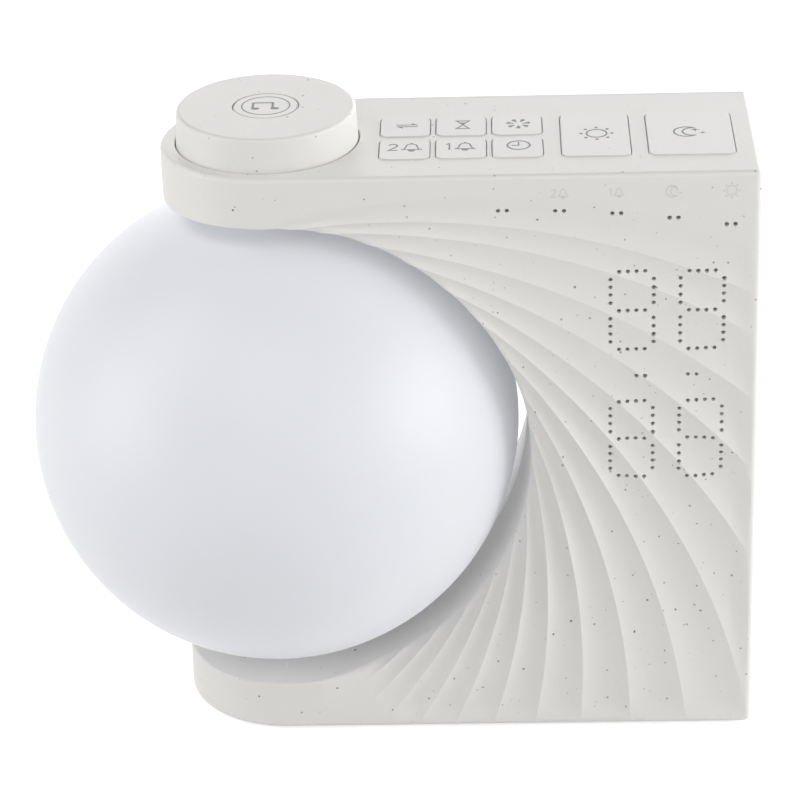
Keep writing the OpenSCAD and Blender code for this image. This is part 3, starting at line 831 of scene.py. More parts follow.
@dataclass(frozen=True)
class DotFace:
    """The holes of the display: four digits, a colon and five indicator pairs.

    Args:
        diameter: diameter of a hole.
        pitch: spacing of the holes.
        digit: width and height of a digit between its outer holes.
        digit_pitch: sideways and upward pitch of the digits.
        inset: distance from the right side to the middle of the digits.
        low: height of the lowest row.
        colon_gap: distance between the two pairs of the colon.
        indicator_pitch: sideways pitch of the indicator pairs.
        indicator_inset: distance from the right side to the last pair.
        indicator_drop: distance from the top to the first pair.
        indicator_sag: how strongly their row sags to the right.
        indicators: number of indicator pairs.
    """

    diameter: float = 1.0
    pitch: float = 2.05
    digit: Flat = (10.2, 20.3)
    digit_pitch: Flat = (16.5, 34.2)
    inset: float = 21.8
    low: float = 70.0
    colon_gap: float = 12.3
    indicator_pitch: float = 13.3
    indicator_inset: float = 7.1
    indicator_drop: float = 9.0
    indicator_sag: float = 0.265
    indicators: int = 5

    def _digit(self, x: float, z: float) -> list[Flat]:
        """Returns the holes of one digit.

        Args:
            x: place of its middle.
            z: height of its bottom row.

        Returns:
            Points (x, z).
        """
        steps = (-1.5, -0.5, 0.5, 1.5)
        rows = [(x + i * self.pitch, z + row * self.digit[1] / 2) for row in range(3) for i in steps]
        sides = [(x + side * self.digit[0] / 2, z + self.digit[1] * (0.25 + half / 2) + i * self.pitch)
                 for side in (-1, 1) for half in (0, 1) for i in steps]
        return rows + sides

    def _pair(self, x: float, z: float) -> list[Flat]:
        """Returns two holes side by side about a point."""
        return [(x + s * self.pitch / 2, z) for s in (-1, 1)]

    def indicator_places(self, reach: float, height: float) -> list[Flat]:
        """Returns the middle of each indicator pair.

        Args:
            reach: distance from the arm axis to the right side.
            height: height of the housing.

        Returns:
            Points (x, z), from the left.
        """
        last = self.indicators - 1
        return [(reach - self.indicator_inset - (last - i) * self.indicator_pitch,
                 height - self.indicator_drop - self.indicator_sag * i * i)
                for i in range(self.indicators)]

    def holes(self, reach: float, height: float) -> list[Flat]:
        """Returns the middle of every hole.

        Args:
            reach: distance from the arm axis to the right side.
            height: height of the housing.

        Returns:
            Points (x, z).
        """
        x = reach - self.inset
        found: list[Flat] = []
        for side in (-0.5, 0.5):
            for row in (0, 1):
                found += self._digit(x + side * self.digit_pitch[0], self.low + row * self.digit_pitch[1])
            middle = self.low + (self.digit_pitch[1] + self.digit[1]) / 2
            found += self._pair(x + side * self.colon_gap, middle)
        for place in self.indicator_places(reach, height):
            found += self._pair(*place)
        return found


@dataclass
class Housing:
    """The front shell and the rear cover, which meet in the middle of the pocket round the globe.

    Args:
        datum: place of the housing in the row frame.
        height: height of the block.
        half: half its depth.
        reach: distance from the arm axis to the right side.
        cover_y: place of the parting plane.
        pocket_r: half the width of the pocket round the globe in the middle of the depth.
        globe_x: place of the globe's axis.
        neck_seat: radius and height of the round seat of the lamp.
        recess: radius and depth of the recess that the knob stands in.
        keys: middle, width and depth of each key opening.
        wall: thickness of the walls.
        pocket_wall: thickness of the wall round the pocket.
        edge_r: radius of the outer edges.
        corner_r: radius of the two corners in plan.
        rim_fillet: radius of the rim of the pocket away from the flutes.
        flare: how much wider the pocket is at the front and at the back than in the middle.
        ring: width and depth of the solid ring behind the rolled rim.
        seam: depth of the seam between the mouldings, half its width and half its width at the wall.
        key_gap: gap round a key.
        key_r: radius of a key's corners.
        boss: radius and length of a screw boss, and radius of its bore.
        post: radius of a post of the key board, and length and radius of its bore.
        posts_z: height of the lower end of those posts.
        wire_r: radius of the hole for the lamp's wires.
        lead_in: how far the edges of the openings are broken.
        overlap: what a tool is longer than its cut.
        foot: radius and depth of the seat of a foot.
        fit_gap: gap between pieces that fit into each other.
        parting: width of the parting line round the cover.
        bite: how far a piece goes into the one that it is united with.
        inner_r: radius of the inner edges.
        recess_wall: thickness of the wall round the knob recess.
        guide_r: radius of a light guide pin.
        guide_drop: depth of its tip below the front face.
        screw: radius of a screw hole, and radius and depth of the seat of its head.
        grille: distance from the right side, height, pitch and hole radius of the grille.
        grille_rings: rings of holes round its middle.
        socket: distance from the right side, height, width and height of the power socket's opening.
        flutes: the rim and the flutes.
        dots: the display holes.
    """

    datum: Datum
    height: float
    half: float
    reach: float
    cover_y: float
    pocket_r: float
    globe_x: float
    neck_seat: Flat
    recess: Flat
    keys: list[tuple[Flat, Flat]]
    wall: float = 2.2
    pocket_wall: float = 2.0
    edge_r: float = 1.2
    corner_r: float = 1.6
    rim_fillet: float = 0.5
    flare: Flat = (0.9, 1.5)
    ring: Flat = (11.0, 5.0)
    seam: tuple[float, float, float] = (0.4, 0.13, 0.17)
    key_gap: float = 0.15
    key_r: float = 2.0
    boss: tuple[float, float, float] = (2.8, 8.0, 1.23)
    post: tuple[float, float, float] = (1.45, 5.0, 0.72)
    posts_z: float = 141.22
    wire_r: float = 3.0
    lead_in: float = 0.12
    overlap: float = 1.0
    foot: Flat = (4.5, 0.6)
    fit_gap: float = 0.15
    parting: float = 0.12
    bite: float = 0.3
    inner_r: float = 0.3
    recess_wall: float = 1.2
    guide_r: float = 0.45
    guide_drop: float = 1.9
    screw: tuple[float, float, float] = (1.35, 2.35, 0.8)
    grille: tuple[float, float, float, float] = (24.3, 103.0, 4.4, 1.1)
    grille_rings: int = 3
    socket: tuple[float, float, float, float] = (20.0, 16.0, 9.5, 3.8)
    flutes: Flutes = field(default_factory=Flutes)
    dots: DotFace = field(default_factory=DotFace)

    def __post_init__(self) -> None:
        """Works out the places that several pieces share."""
        self.globe_z = self.height / 2
        self.rim_r = self.mouth(-self.half)
        arc_r, lead = self.flutes.arc_r, math.radians(self.flutes.lead)
        centre = (self.rim_r - arc_r * math.cos(lead), -arc_r * math.sin(lead))
        self.arc_d = math.hypot(*centre)
        self.arc_a = math.degrees(math.atan2(centre[1], centre[0]))

    # the block

    def _plan(self, inset: float, steps: int = 96) -> list[Flat]:
        """Returns the plan outline of the block.

        Args:
            inset: distance that it is drawn in.
            steps: spans round the arm end.

        Returns:
            Points (x, y).
        """
        r = max(self.corner_r - inset, 0.2)
        x, y = self.reach - inset - r, self.half - inset - r
        left = arc((0.0, 0.0), self.half - inset, 90, 270, steps)
        return left + arc((x, -y), r, -90, 0, 8) + arc((x, y), r, 0, 90, 8)

    def block(self, inset: float = 0.0, radius: float | None = None) -> Solid:
        """Builds the outside of the housing as one solid.

        Args:
            inset: distance that it is drawn in on every side.
            radius: radius of its top and bottom edges, by default the real one.

        Returns:
            The solid.
        """
        r = self.edge_r if radius is None else radius
        side = rounded_profile(self.height / 2, self.height - inset, r, 8)
        down = [(i, self.height - z) for i, z in reversed(side[1:])]
        return loft([[(x, y, z) for x, y in self._plan(inset + i)] for i, z in down + side[1:]])

    def mouth(self, y: float) -> float:
        """Returns half the width of the pocket at a depth: it widens from the middle to both faces."""
        return self.pocket_r + abs(y) / self.half * self.flare[0 if y < 0 else 1]

    def opening(self, grow: float = 0.0, low: float | None = None, high: float | None = None) -> Solid:
        """Builds the opening round the globe: round to the right, straight to the left.

        Args:
            grow: distance by which it is grown.
            low: where it starts in depth, by default in front of the housing.
            high: where it ends, by default behind it.

        Returns:
            The solid.
        """
        ends = (-self.half - 1 if low is None else low, self.half + 1 if high is None else high)
        depth, inner, outer = self.seam
        rings = []
        for y in sorted({*ends, *(v for v in (-outer, -inner, inner, outer) if ends[0] < v < ends[1])}):
            r = self.mouth(y) + grow + (depth if grow == 0 and abs(y) <= inner else 0)
            right = arc((0.0, self.globe_z), r, -90, 90, 240)
            outline = right + [(-2 * self.half, self.globe_z + r), (-2 * self.half, self.globe_z - r)]
            rings.append([(x, y, z) for x, z in outline])
        return loft(rings)

    # the rim of the pocket

    def _rim_section(self, corner: Vector, outer: Vector, inner: Vector) -> list[Point]:
        """Returns the section of the sliver that rounds the rim at one place.

        Args:
            corner: the sharp corner.
            outer: direction from it along the outer face.
            inner: direction from it along the pocket.

        Returns:
            The points of the section.
        """
        angle = outer.angle(inner)
        reach = self.rim_fillet / math.tan(angle / 2)
        middle = (outer + inner).normalized()
        centre = corner + middle * (self.rim_fillet / math.sin(angle / 2))
        out_normal = -(inner - outer * outer.dot(inner)).normalized()
        in_normal = -(outer - inner * outer.dot(inner)).normalized()
        start, end = out_normal, in_normal
        sweep = start.angle(end)
        points = []
        for i in range(9):
            t = i / 8
            way = (start * math.sin((1 - t) * sweep) + end * math.sin(t * sweep)) / math.sin(sweep)
            points.append(tuple(centre + way * self.rim_fillet))
        points.append(tuple(corner + inner * reach + in_normal * 0.7))
        points.append(tuple(corner - middle * 1.4))
        points.append(tuple(corner + outer * reach + out_normal * 0.7))
        return points

    def rim_sliver(self) -> Solid:
        """Builds what rounds the rim away from the flutes: on both arms and the back.

        Returns:
            The tool that is cut away.
        """
        sections = []
        fall = [flare / self.half for flare in self.flare]

        def on_face(angle: float, side: int) -> None:
            """Adds a section on the edge between the pocket and a flat face.

            Args:
                angle: rim angle, degrees.
                side: -1 for the front, 1 for the back.
            """
            radial = Vector((math.cos(math.radians(angle)), 0.0, math.sin(math.radians(angle))))
            corner = radial * self.mouth(side * self.half) + Vector((0.0, side * self.half, self.globe_z))
            inner = (Vector((0.0, -side, 0.0)) - radial * fall[side > 0]).normalized()
            sections.append(self._rim_section(corner, radial, inner))

        def on_arm(angle: float, up: int) -> None:
            """Adds a section on the edge between the pocket and a round arm end.

            Args:
                angle: place round the arm end, degrees.
                up: -1 for the lower arm, 1 for the upper arm.
            """
            radial = Vector((math.cos(math.radians(angle)), math.sin(math.radians(angle)), 0.0))
            y = self.half * radial.y
            corner = radial * self.half + Vector((0.0, 0.0, self.globe_z + up * self.mouth(y)))
            slope = -up * abs(radial.y) * fall[y > 0]
            inner = (Vector((0.0, 0.0, slope)) - radial).normalized()
            sections.append(self._rim_section(corner, Vector((0.0, 0.0, float(up))), inner))

        on_face(-89.7, -1)
        for i in range(60):
            on_arm(-90 - 3 * i, -1)
        for i in range(90):
            on_face(-90 + 2 * i, 1)
        for i in range(61):
            on_arm(90 + 3 * i, 1)
        on_face(89.7, -1)
        return loft(sections)

    # the flutes

    def _arc_turn(self, radius: float) -> float:
        """Returns how far a ridge has turned about the globe at a radius, degrees."""
        top = self.arc_d**2 + radius**2 - self.flutes.arc_r**2
        return -self.arc_a - math.degrees(math.acos(top / (2 * self.arc_d * radius)))

    def _on_arc(self, angle: float, radius: float) -> Flat:
        """Returns the point (x, z) of the arc from a rim angle at a radius."""
        a = math.radians(angle - self._arc_turn(radius))
        return radius * math.cos(a), self.globe_z + radius * math.sin(a)

    def _edge_gap(self, x: float, z: float) -> float:
        """Returns the distance from a point of the front face to its nearest outer edge."""
        return min(x + 12, self.reach - x, z, self.height - z)

    def _arc_reach(self, angle: float) -> float:
        """Returns the radius at which an arc leaves the face.

        Args:
            angle: where it leaves the rim, degrees.

        Returns:
            The radius.
        """
        low, high = self.rim_r + 6, 2 * self.reach
        for _ in range(20):
            middle = (low + high) / 2
            if self._edge_gap(*self._on_arc(angle, middle)) > -0.6:
                low = middle
            else:
                high = middle
        return low

    def relief(self, x: float, z: float, u: float, angle: float) -> float:
        """Returns the depth of a flute at a point of the front face.

        Args:
            x: place of the point.
            z: its height.
            u: its place across the flute, 0 to 1.
            angle: where its arc leaves the rim, degrees.

        Returns:
            The depth, below 0 beyond the ends of the fan.
        """
        r = math.hypot(x, z - self.globe_z)
        a = math.degrees(math.atan2(z - self.globe_z, x))
        fan = self.flutes
        grade = fan.deep_low + (fan.deep_high - fan.deep_low) * ramp((a - 5) / 13)
        live = ramp((a + 74) / 10) * ramp((fan.end() - angle) / 8) * ramp(x / 5)
        near = 1 + fan.near_rim * ramp((88 - r) / 16)
        hollow = min(r * grade * near / 100, fan.deepest) * 4 * u * (1 - u)
        return -fan.out + live * (fan.out + fan.skim + hollow * ramp(self._edge_gap(x, z) / fan.fade))

    def _flute_column(self, angle: float, u: float) -> tuple[list[Point], list[Point]]:
        """Builds one line of the cutter of the rim and the flutes, along an arc.

        Args:
            angle: rim angle of the arc.
            u: place across its flute, 0 to 1.

        Returns:
            Points on the cut surface and points in front of it.
        """
        fan = self.flutes
        roll = fan.roll(angle)
        mouth = self.mouth(roll + fan.fall(0.0, angle) - self.half)
        bend = [(mouth - 1.2, roll + 0.2)]
        for i in range(13):
            t = math.radians(90 * i / 12)
            bend.append((mouth - 0.01 + roll * (1 - math.cos(t)), roll * (1 - math.sin(t))))
        start, far = bend[-1][0], self._arc_reach(angle)
        bend += [(start + (far - start) * (k / fan.along) ** 1.15, 0.0) for k in range(1, fan.along + 1)]
        cut, front = [], []
        for radius, sunk in bend:
            if radius < self.rim_r:
                a = math.radians(angle)
                x, z = radius * math.cos(a), self.globe_z + radius * math.sin(a)
            else:
                x, z = self._on_arc(angle, radius)
            fall = fan.fall(radius - mouth, math.degrees(math.atan2(z - self.globe_z, x)))
            depth = sunk + fall + self.relief(x, z, u, angle)
            cut.append((x, depth - self.half, z))
            front.append((x, -self.half - self.overlap, z))
        return cut, front

    def flute_cutter(self) -> Solid:
        """Builds the solid that the fluted front and its rim are cut with."""
        columns = [self._flute_column(a, u) for a, u in self.flutes.columns()]
        return loft([cut + list(reversed(front)) for cut, front in columns])

    # the two mouldings

    def _slab(self, low: Point, high: Point) -> Solid:
        """Builds a box between two corners."""
        outline = [(low[0], low[1]), (high[0], low[1]), (high[0], high[1]), (low[0], high[1])]
        return loft([[(x, y, z) for x, y in outline] for z in (low[2], high[2])])

    def _key_cutter(self) -> Solid:
        """Builds the tool for every key opening, with a slight lead-in at the top.

        Returns:
            The tool that is cut away.
        """
        tool, gap, top = Solid([], []), self.key_gap, self.height
        steps = [(-gap, top - self.wall - self.overlap), (-gap, top - self.lead_in),
                 (-gap - self.lead_in, top), (-gap - self.lead_in, top + self.overlap)]
        for centre, size in self.keys:
            tool = tool.joined(loft([
                [(x, y, z) for x, y in round_rect(centre, size, self.key_r, inset)]
                for inset, z in steps]))
        return tool

    def _dot_cutter(self) -> Solid:
        """Builds the tool for every hole of the display.

        Returns:
            The tool that is cut away.
        """
        r, tool = self.dots.diameter / 2, Solid([], [])
        front, ease = -self.half, self.lead_in
        profile = [(r + ease, front - self.overlap), (r + ease, front), (r, front + ease + 0.3),
                   (r, front + self.wall + self.overlap)]
        for x, z in self.dots.holes(self.reach, self.height):
            tool = tool.joined(loft([
                [(x + u, y, z - v) for u, v in circle(radius, 20)] for radius, y in profile]))
        return tool

    def _rod(self, place: Flat, radius: float, low: float, high: float) -> Solid:
        """Builds a rod along the depth.

        Args:
            place: its axis (x, z).
            radius: its radius.
            low: where it starts in depth.
            high: where it ends.

        Returns:
            The solid.
        """
        return loft([[(place[0] + u, y, place[1] - v) for u, v in circle(radius, 40)] for y in (low, high)])

    def _hollow(self) -> bpy.types.Object:
        """Builds the inside of the front shell, open at the back, round its walls, bosses and posts.

        Returns:
            The tool that is cut away.
        """
        hollow = self.block(self.wall, self.inner_r).as_object("hollow")
        top, side = self.height - self.wall, self.reach - self.wall
        back = self._slab((0.0, 0.0, self.wall), (side, self.half, top))
        combined(hollow, Cut.ADD, back.as_object("back"))
        recess_r, recess_h = self.recess
        seat_r, seat_z = self.neck_seat
        cup_r, sleeve_r = seat_r + self.pocket_wall, recess_r + self.recess_wall
        ring_w, ring_t = self.ring
        kept = [
            self.opening(self.pocket_wall, high=0.0),
            self.opening(ring_w, high=ring_t - self.half),
            turned([(sleeve_r, top - recess_h), (sleeve_r, self.height)], 96),
            turned([(cup_r, self.globe_z), (cup_r, seat_z + self.pocket_wall)], 96, (self.globe_x, 0.0))]
        for place in self.bosses():
            kept.append(self._rod(place, self.boss[0], self.cover_y - self.boss[1], self.half))
        for place in self.posts():
            kept.append(turned([(self.post[0], self.posts_z), (self.post[0], self.height)], 32, place))
        return combined(hollow, Cut.REMOVE, *(tool.as_object("kept") for tool in kept))

    def _front_bores(self) -> list[Solid]:
        """Builds the round tools of the front shell: lamp seat, knob recess, feet, posts and bosses.

        Returns:
            One solid for each bore or seat.
        """
        seat_r, seat_z = self.neck_seat
        middle = (self.globe_x, 0.0)
        recess_r, recess_h = self.recess
        floor, roof, top = self.globe_z + self.pocket_r - 2, seat_z + self.pocket_wall, self.height
        foot_r, foot_z = self.foot[0] + 0.05, self.foot[1]
        _, boss_l, boss_bore = self.boss
        _, bore_l, bore_r = self.post
        step, boss_end = 0.2, 1.5
        tools = [
            turned([(seat_r, floor), (seat_r, seat_z - step), (seat_r - step, seat_z)], 96, middle),
            turned([(self.wire_r, floor), (self.wire_r, roof + self.overlap)], 48, middle),
            turned([(recess_r, top - recess_h), (recess_r, top - step),
                    (recess_r + step, top), (recess_r + step, top + self.overlap)], 160)]
        for place in self.feet():
            tools.append(turned([(foot_r, -self.overlap), (foot_r, foot_z)], 48, place))
        for place in self.posts():
            tools.append(turned([(bore_r, self.posts_z - self.overlap), (bore_r, self.posts_z + bore_l)],
                                24, place))
        for place in self.bosses():
            tools.append(self._rod(place, boss_bore, self.cover_y - boss_l + boss_end, self.half))
        return tools

    def front(self) -> bpy.types.Object:
        """Builds the front shell, with the front half of the pocket wall.

        Returns:
            The shell, in millimetres.
        """
        shell = self.block().as_object("front_shell_moulding")
        combined(shell, Cut.REMOVE, self.opening().as_object("pocket"), self.rim_sliver().as_object("rim"),
                 self.flute_cutter().as_object("flutes"))
        big = 2 * self.reach
        ahead = self._slab((-big, -big, -big), (big, self.cover_y - self.parting, big))
        combined(shell, Cut.KEEP, ahead.as_object("ahead"))
        return combined(shell, Cut.REMOVE, self._hollow(),
                        *(tool.as_object("round") for tool in self._front_bores()),
                        self._key_cutter().as_object("keys"), self._dot_cutter().as_object("dots"))

    def rear(self) -> bpy.types.Object:
        """Builds the rear cover, with the rear half of the pocket wall.

        Returns:
            The cover, in millimetres.
        """
        cover = self.block().as_object("rear_cover_moulding")
        big = 2 * self.reach
        behind = self._slab((-big, self.cover_y, -big), (big, big, big))
        combined(cover, Cut.KEEP, behind.as_object("behind"))
        lining = self.opening(self.pocket_wall, low=0.05, high=self.cover_y + self.bite).as_object("lining")
        inside = self.block(self.wall + self.fit_gap, self.inner_r).as_object("inside")
        combined(lining, Cut.KEEP, inside)
        cup_r = self.neck_seat[0] + self.pocket_wall + self.fit_gap
        cup = turned([(cup_r, self.globe_z), (cup_r, self.height)], 96, (self.globe_x, 0.0))
        combined(lining, Cut.REMOVE, cup.as_object("cup"))
        combined(cover, Cut.ADD, lining)
        combined(cover, Cut.REMOVE, self.opening().as_object("pocket"), self.rim_sliver().as_object("rim"))
        return combined(cover, Cut.REMOVE, *(tool.as_object("hole") for tool in self._rear_holes()))

    def _rear_holes(self) -> list[Solid]:
        """Builds the tools for the screws, the grille and the power socket.

        Returns:
            One solid for each hole or seat.
        """
        hole_r, head_r, sink = self.screw
        low, high = self.cover_y - self.overlap, self.half + self.overlap
        tools = []
        for place in self.bosses():
            tools.append(self._rod(place, hole_r, low, high))
            tools.append(self._rod(place, head_r, self.half - sink, high))
        inset, z, pitch, radius = self.grille
        x = self.reach - inset
        tools.append(self._rod((x, z), radius, low, high))
        for ring in range(1, self.grille_rings + 1):
            for u, v in circle(ring * pitch, 6 * ring):
                tools.append(self._rod((x + u, z + v), radius, low, high))
        inset, z, width, height = self.socket
        outline = round_rect((self.reach - inset, z), (width, height), height / 2 - 0.05, 0.0)
        tools.append(loft([[(u, y, v) for u, v in outline] for y in (low, high)]))
        return tools

    def cut_back(self, node: str) -> bpy.types.Object:
        """Copies a plate of the display and cuts it back from the ring behind the rolled rim.

        Args:
            node: node of the plate.

        Returns:
            The copy.
        """
        plate = copied(node, node + "_cut_back")
        room = self.opening(self.ring[0] + 0.3).as_object("room")
        return combined(plate, Cut.REMOVE, self.datum.settle(room))

    def light_guide(self) -> bpy.types.Object:
        """Builds the pins that carry the light of the display into its holes.

        Returns:
            The pins as one object, in millimetres.
        """
        pins = Solid([], [])
        low = self.guide_drop - self.half
        for place in self.dots.holes(self.reach, self.height):
            pins = pins.joined(self._rod(place, self.guide_r, low, self.wall - self.half - 0.02))
        return pins.as_object("light_guide_pins")

    def bosses(self) -> list[Flat]:
        """Places the case screws close to the walls, as in the solids.

        Returns:
            Points (x, z).
        """
        right, low, high = self.reach - self.wall - 2.4, self.wall + 2.5, self.height - self.wall - 2.4
        return [(2.0, low), (60.0, low), (right, self.wall + 4), (right, self.height / 2 - 2),
                (60.0, high), (2.0, high)]

    def feet(self) -> list[Flat]:
        """Returns the places (x, y) of the rubber feet."""
        return [(-6.0, -15.0), (-6.0, 15.0), (self.reach - 12, -17.0), (self.reach - 12, 17.0)]

    def posts(self) -> list[Flat]:
        """Places the key board's posts beside and between the keys.

        Returns:
            Points (x, y).
        """
        lefts = [c[0] - s[0] / 2 for c, s in self.keys]
        rights = [c[0] + s[0] / 2 for c, s in self.keys]
        small, light, snooze = self.keys[0], self.keys[6], self.keys[7]
        gap_a, gap_b = (rights[2] + lefts[6]) / 2, (rights[6] + lefts[7]) / 2
        flange, post_room, front_room = 0.45, 2.4, 11
        back = small[0][1] + small[1][1] / 2 + flange + post_room
        front = light[0][1] - front_room
        return [(self.keys[0][0][0] - 2, back), (gap_a, back), (snooze[0][0] + 6, back),
                (gap_a, front), (gap_b, front)]


# ---------------------------------------------------------------- pictograms


class Sign(Enum):
    """What is printed on a key or moulded beside an indicator."""

    ARROWS = "arrows"
    HOURGLASS = "hourglass"
    PETALS = "petals"
    BELL_ONE = "bell_one"
    BELL_TWO = "bell_two"
    CLOCK = "clock"
    SUN = "sun"
    MOON = "moon"
    NOTE = "note"


@dataclass(frozen=True)
class Pen:
    """Draws pictograms as flat solids in a plane, u to the right and v up, in millimetres.

    Args:
        width: width of a stroke.
        height: thickness of what is drawn.
    """

    width: float = 0.36
    height: float = 0.03

    def stroke(self, path: Sequence[Flat], width: float | None = None, closed: bool = False) -> Solid:
        """Draws a line of even width.

        Args:
            path: its points.
            width: its width, by default the pen's.
            closed: True for a loop.

        Returns:
            The solid.
        """
        half = (self.width if width is None else width) / 2
        count = len(path)
        rings = []
        for i, (u, v) in enumerate(path):
            before = path[(i - 1) % count] if closed or i > 0 else (u, v)
            after = path[(i + 1) % count] if closed or i < count - 1 else (u, v)
            first = Vector((u - before[0], v - before[1]))
            second = Vector((after[0] - u, after[1] - v))
            first = first.normalized() if first.length > 0 else second.normalized()
            second = second.normalized() if second.length > 0 else first
            along = (first + second).normalized()
            spread = min(half / max(along.dot(first), 0.3), 2 * half)
            side = Vector((-along.y, along.x)) * spread
            ring = [(side, 0.0), (-side, 0.0), (-side, self.height), (side, self.height)]
            rings.append([(u + s.x, v + s.y, w) for s, w in ring])
        return loft(rings, closed)

    def patch(self, outline: Sequence[Flat]) -> Solid:
        """Fills an outline."""
        return loft([[(u, v, w) for u, v in outline] for w in (0.0, self.height)])

    def disc(self, centre: Flat, radii: Flat) -> Solid:
        """Fills an ellipse."""
        return self.patch([(centre[0] + radii[0] * u, centre[1] + radii[1] * v) for u, v in circle(1.0, 24)])

    def ring(self, radius: float, width: float | None = None) -> Solid:
        """Draws a circle about 0."""
        return self.stroke(circle(radius, 72), width, closed=True)

    def draw(self, sign: Sign) -> list[Solid]:
        """Returns the strokes of a sign, which may overlap."""
        return getattr(self, "_" + sign.value)()

    def _arrows(self) -> list[Solid]:
        """Draws two arrows in opposite directions, each with half a head.

        Returns:
            Their strokes.
        """
        upper = [(-2.6, 0.55), (2.4, 0.55)]
        head = [(2.6, 0.37), (1.1, 0.6), (1.1, 1.55)]
        turn = [self.stroke(upper, 0.34), self.patch(head)]
        return turn + [s.mapped(lambda p: (-p[0], -p[1], p[2])) for s in turn]

    def _hourglass(self) -> list[Solid]:
        """Draws an hourglass with sand in its upper half.

        Returns:
            Its strokes.
        """
        low = [(-1.5, -2.4), (1.5, -2.4), (0.0, 0.0)]
        high = [(1.5, 2.4), (-1.5, 2.4), (0.0, 0.0)]
        sand = [(-0.75, 1.3), (0.0, 0.1), (0.75, 1.3)]
        bars = [self.stroke([(-1.8, v), (1.8, v)], 0.4) for v in (-2.4, 2.4)]
        return [self.stroke(low, 0.34, True), self.stroke(high, 0.34, True), self.patch(sand), *bars]

    def _petals(self) -> list[Solid]:
        """Draws seven drops round a free middle.

        Returns:
            Their strokes.
        """
        drops = []
        for k in range(7):
            a = math.radians(-90 + 360 * k / 7)
            drop = [(0.95, 0.0)] + arc((2.35, 0.0), 0.58, -70, 70, 10)
            drops.append(self.patch([
                (u * math.cos(a) - v * math.sin(a), u * math.sin(a) + v * math.cos(a)) for u, v in drop]))
        return drops

    def _bell(self, u: float) -> list[Solid]:
        """Draws a bell.

        Args:
            u: place of its middle.

        Returns:
            Its strokes.
        """
        right = [(u + 2.5, -1.55), (u + 1.9, -1.45), (u + 1.55, -0.7), (u + 1.25, 0.6)]
        dome = arc((u, 0.6), 1.25, 0, 180, 12)
        left = [(2 * u - a, b) for a, b in reversed(right)]
        clapper = [(u + a, -1.85 + b) for a, b in arc((0.0, 0.0), 0.9, 180, 360, 12)]
        lip = self.stroke([(u - 2.5, -1.55), (u + 2.5, -1.55)], 0.34)
        return [self.stroke(right[:-1] + dome + left[1:]), lip, self.patch(clapper),
                self.disc((u, 2.05), (0.34, 0.4))]

    def _bell_one(self) -> list[Solid]:
        """Draws the numeral 1 and a bell."""
        one = [(-3.5, 1.1), (-2.75, 1.75), (-2.75, -2.1)]
        return self._bell(0.95) + [self.stroke(one, 0.42)]

    def _bell_two(self) -> list[Solid]:
        """Draws the numeral 2 and a bell.

        Returns:
            Their strokes.
        """
        top = arc((-2.75, 0.85), 1.0, 160, -40, 12)
        two = top + [(-3.8, -1.9), (-1.7, -1.9)]
        return self._bell(1.65) + [self.stroke(two, 0.42)]

    def _clock(self) -> list[Solid]:
        """Draws a clock face at nine."""
        hands = [(0.0, 2.0), (0.0, -0.1), (-1.7, -0.1)]
        return [self.ring(2.65, 0.42), self.stroke(hands, 0.34)]

    def _sun(self) -> list[Solid]:
        """Draws a circle with eight dots round it."""
        dots = [self.disc(place, (0.42, 0.42)) for place in circle(3.65, 8)]
        return [self.ring(2.4, 0.42), *dots]

    def _moon(self) -> list[Solid]:
        """Draws a crescent moon with two small stars.

        Returns:
            Their strokes.
        """
        outer = arc((-0.9, 0.0), 2.9, 50, 310, 36)
        inner = arc((0.55, 0.0), 2.3, 285, 75, 30)
        stars = [self._star((1.3, 1.1), 1.1), self._star((3.0, -0.7), 0.8)]
        return [self.stroke(outer + inner, 0.42, True), *stars]

    def _star(self, centre: Flat, reach: float) -> Solid:
        """Draws a star of four points.

        Args:
            centre: its middle.
            reach: distance from its middle to a point.

        Returns:
            The star.
        """
        return self.patch([
            (centre[0] + r * reach * u, centre[1] + r * reach * v)
            for k, (u, v) in enumerate(circle(1.0, 8, 90)) for r in [1.0 if k % 2 == 0 else 0.28]])

    def _note(self) -> list[Solid]:
        """Draws a beamed pair of notes in a ring.

        Returns:
            Their strokes.
        """
        frame = [(-3.05, -1.85), (-3.05, 1.85), (1.65, 1.85), (1.65, -1.85)]
        heads = [self.disc((u, -1.75), (1.05, 0.62)) for u in (-2.45, 2.25)]
        return [self.ring(5.7, 0.32), self.stroke(frame, 0.55), *heads]


def drawn(sign: Sign, pen: Pen, name: str, change: Callable[[Point], Point]) -> bpy.types.Object:
    """Makes one mesh of a sign.

    Args:
        sign: what is drawn.
        pen: how it is drawn.
        name: name of the object.
        change: puts a point of the drawing plane in the housing's frame.

    Returns:
        The object, in millimetres.
    """
    strokes = [s.mapped(change).as_object(name) for s in pen.draw(sign)]
    return combined(strokes[0], Cut.ADD, *strokes[1:])


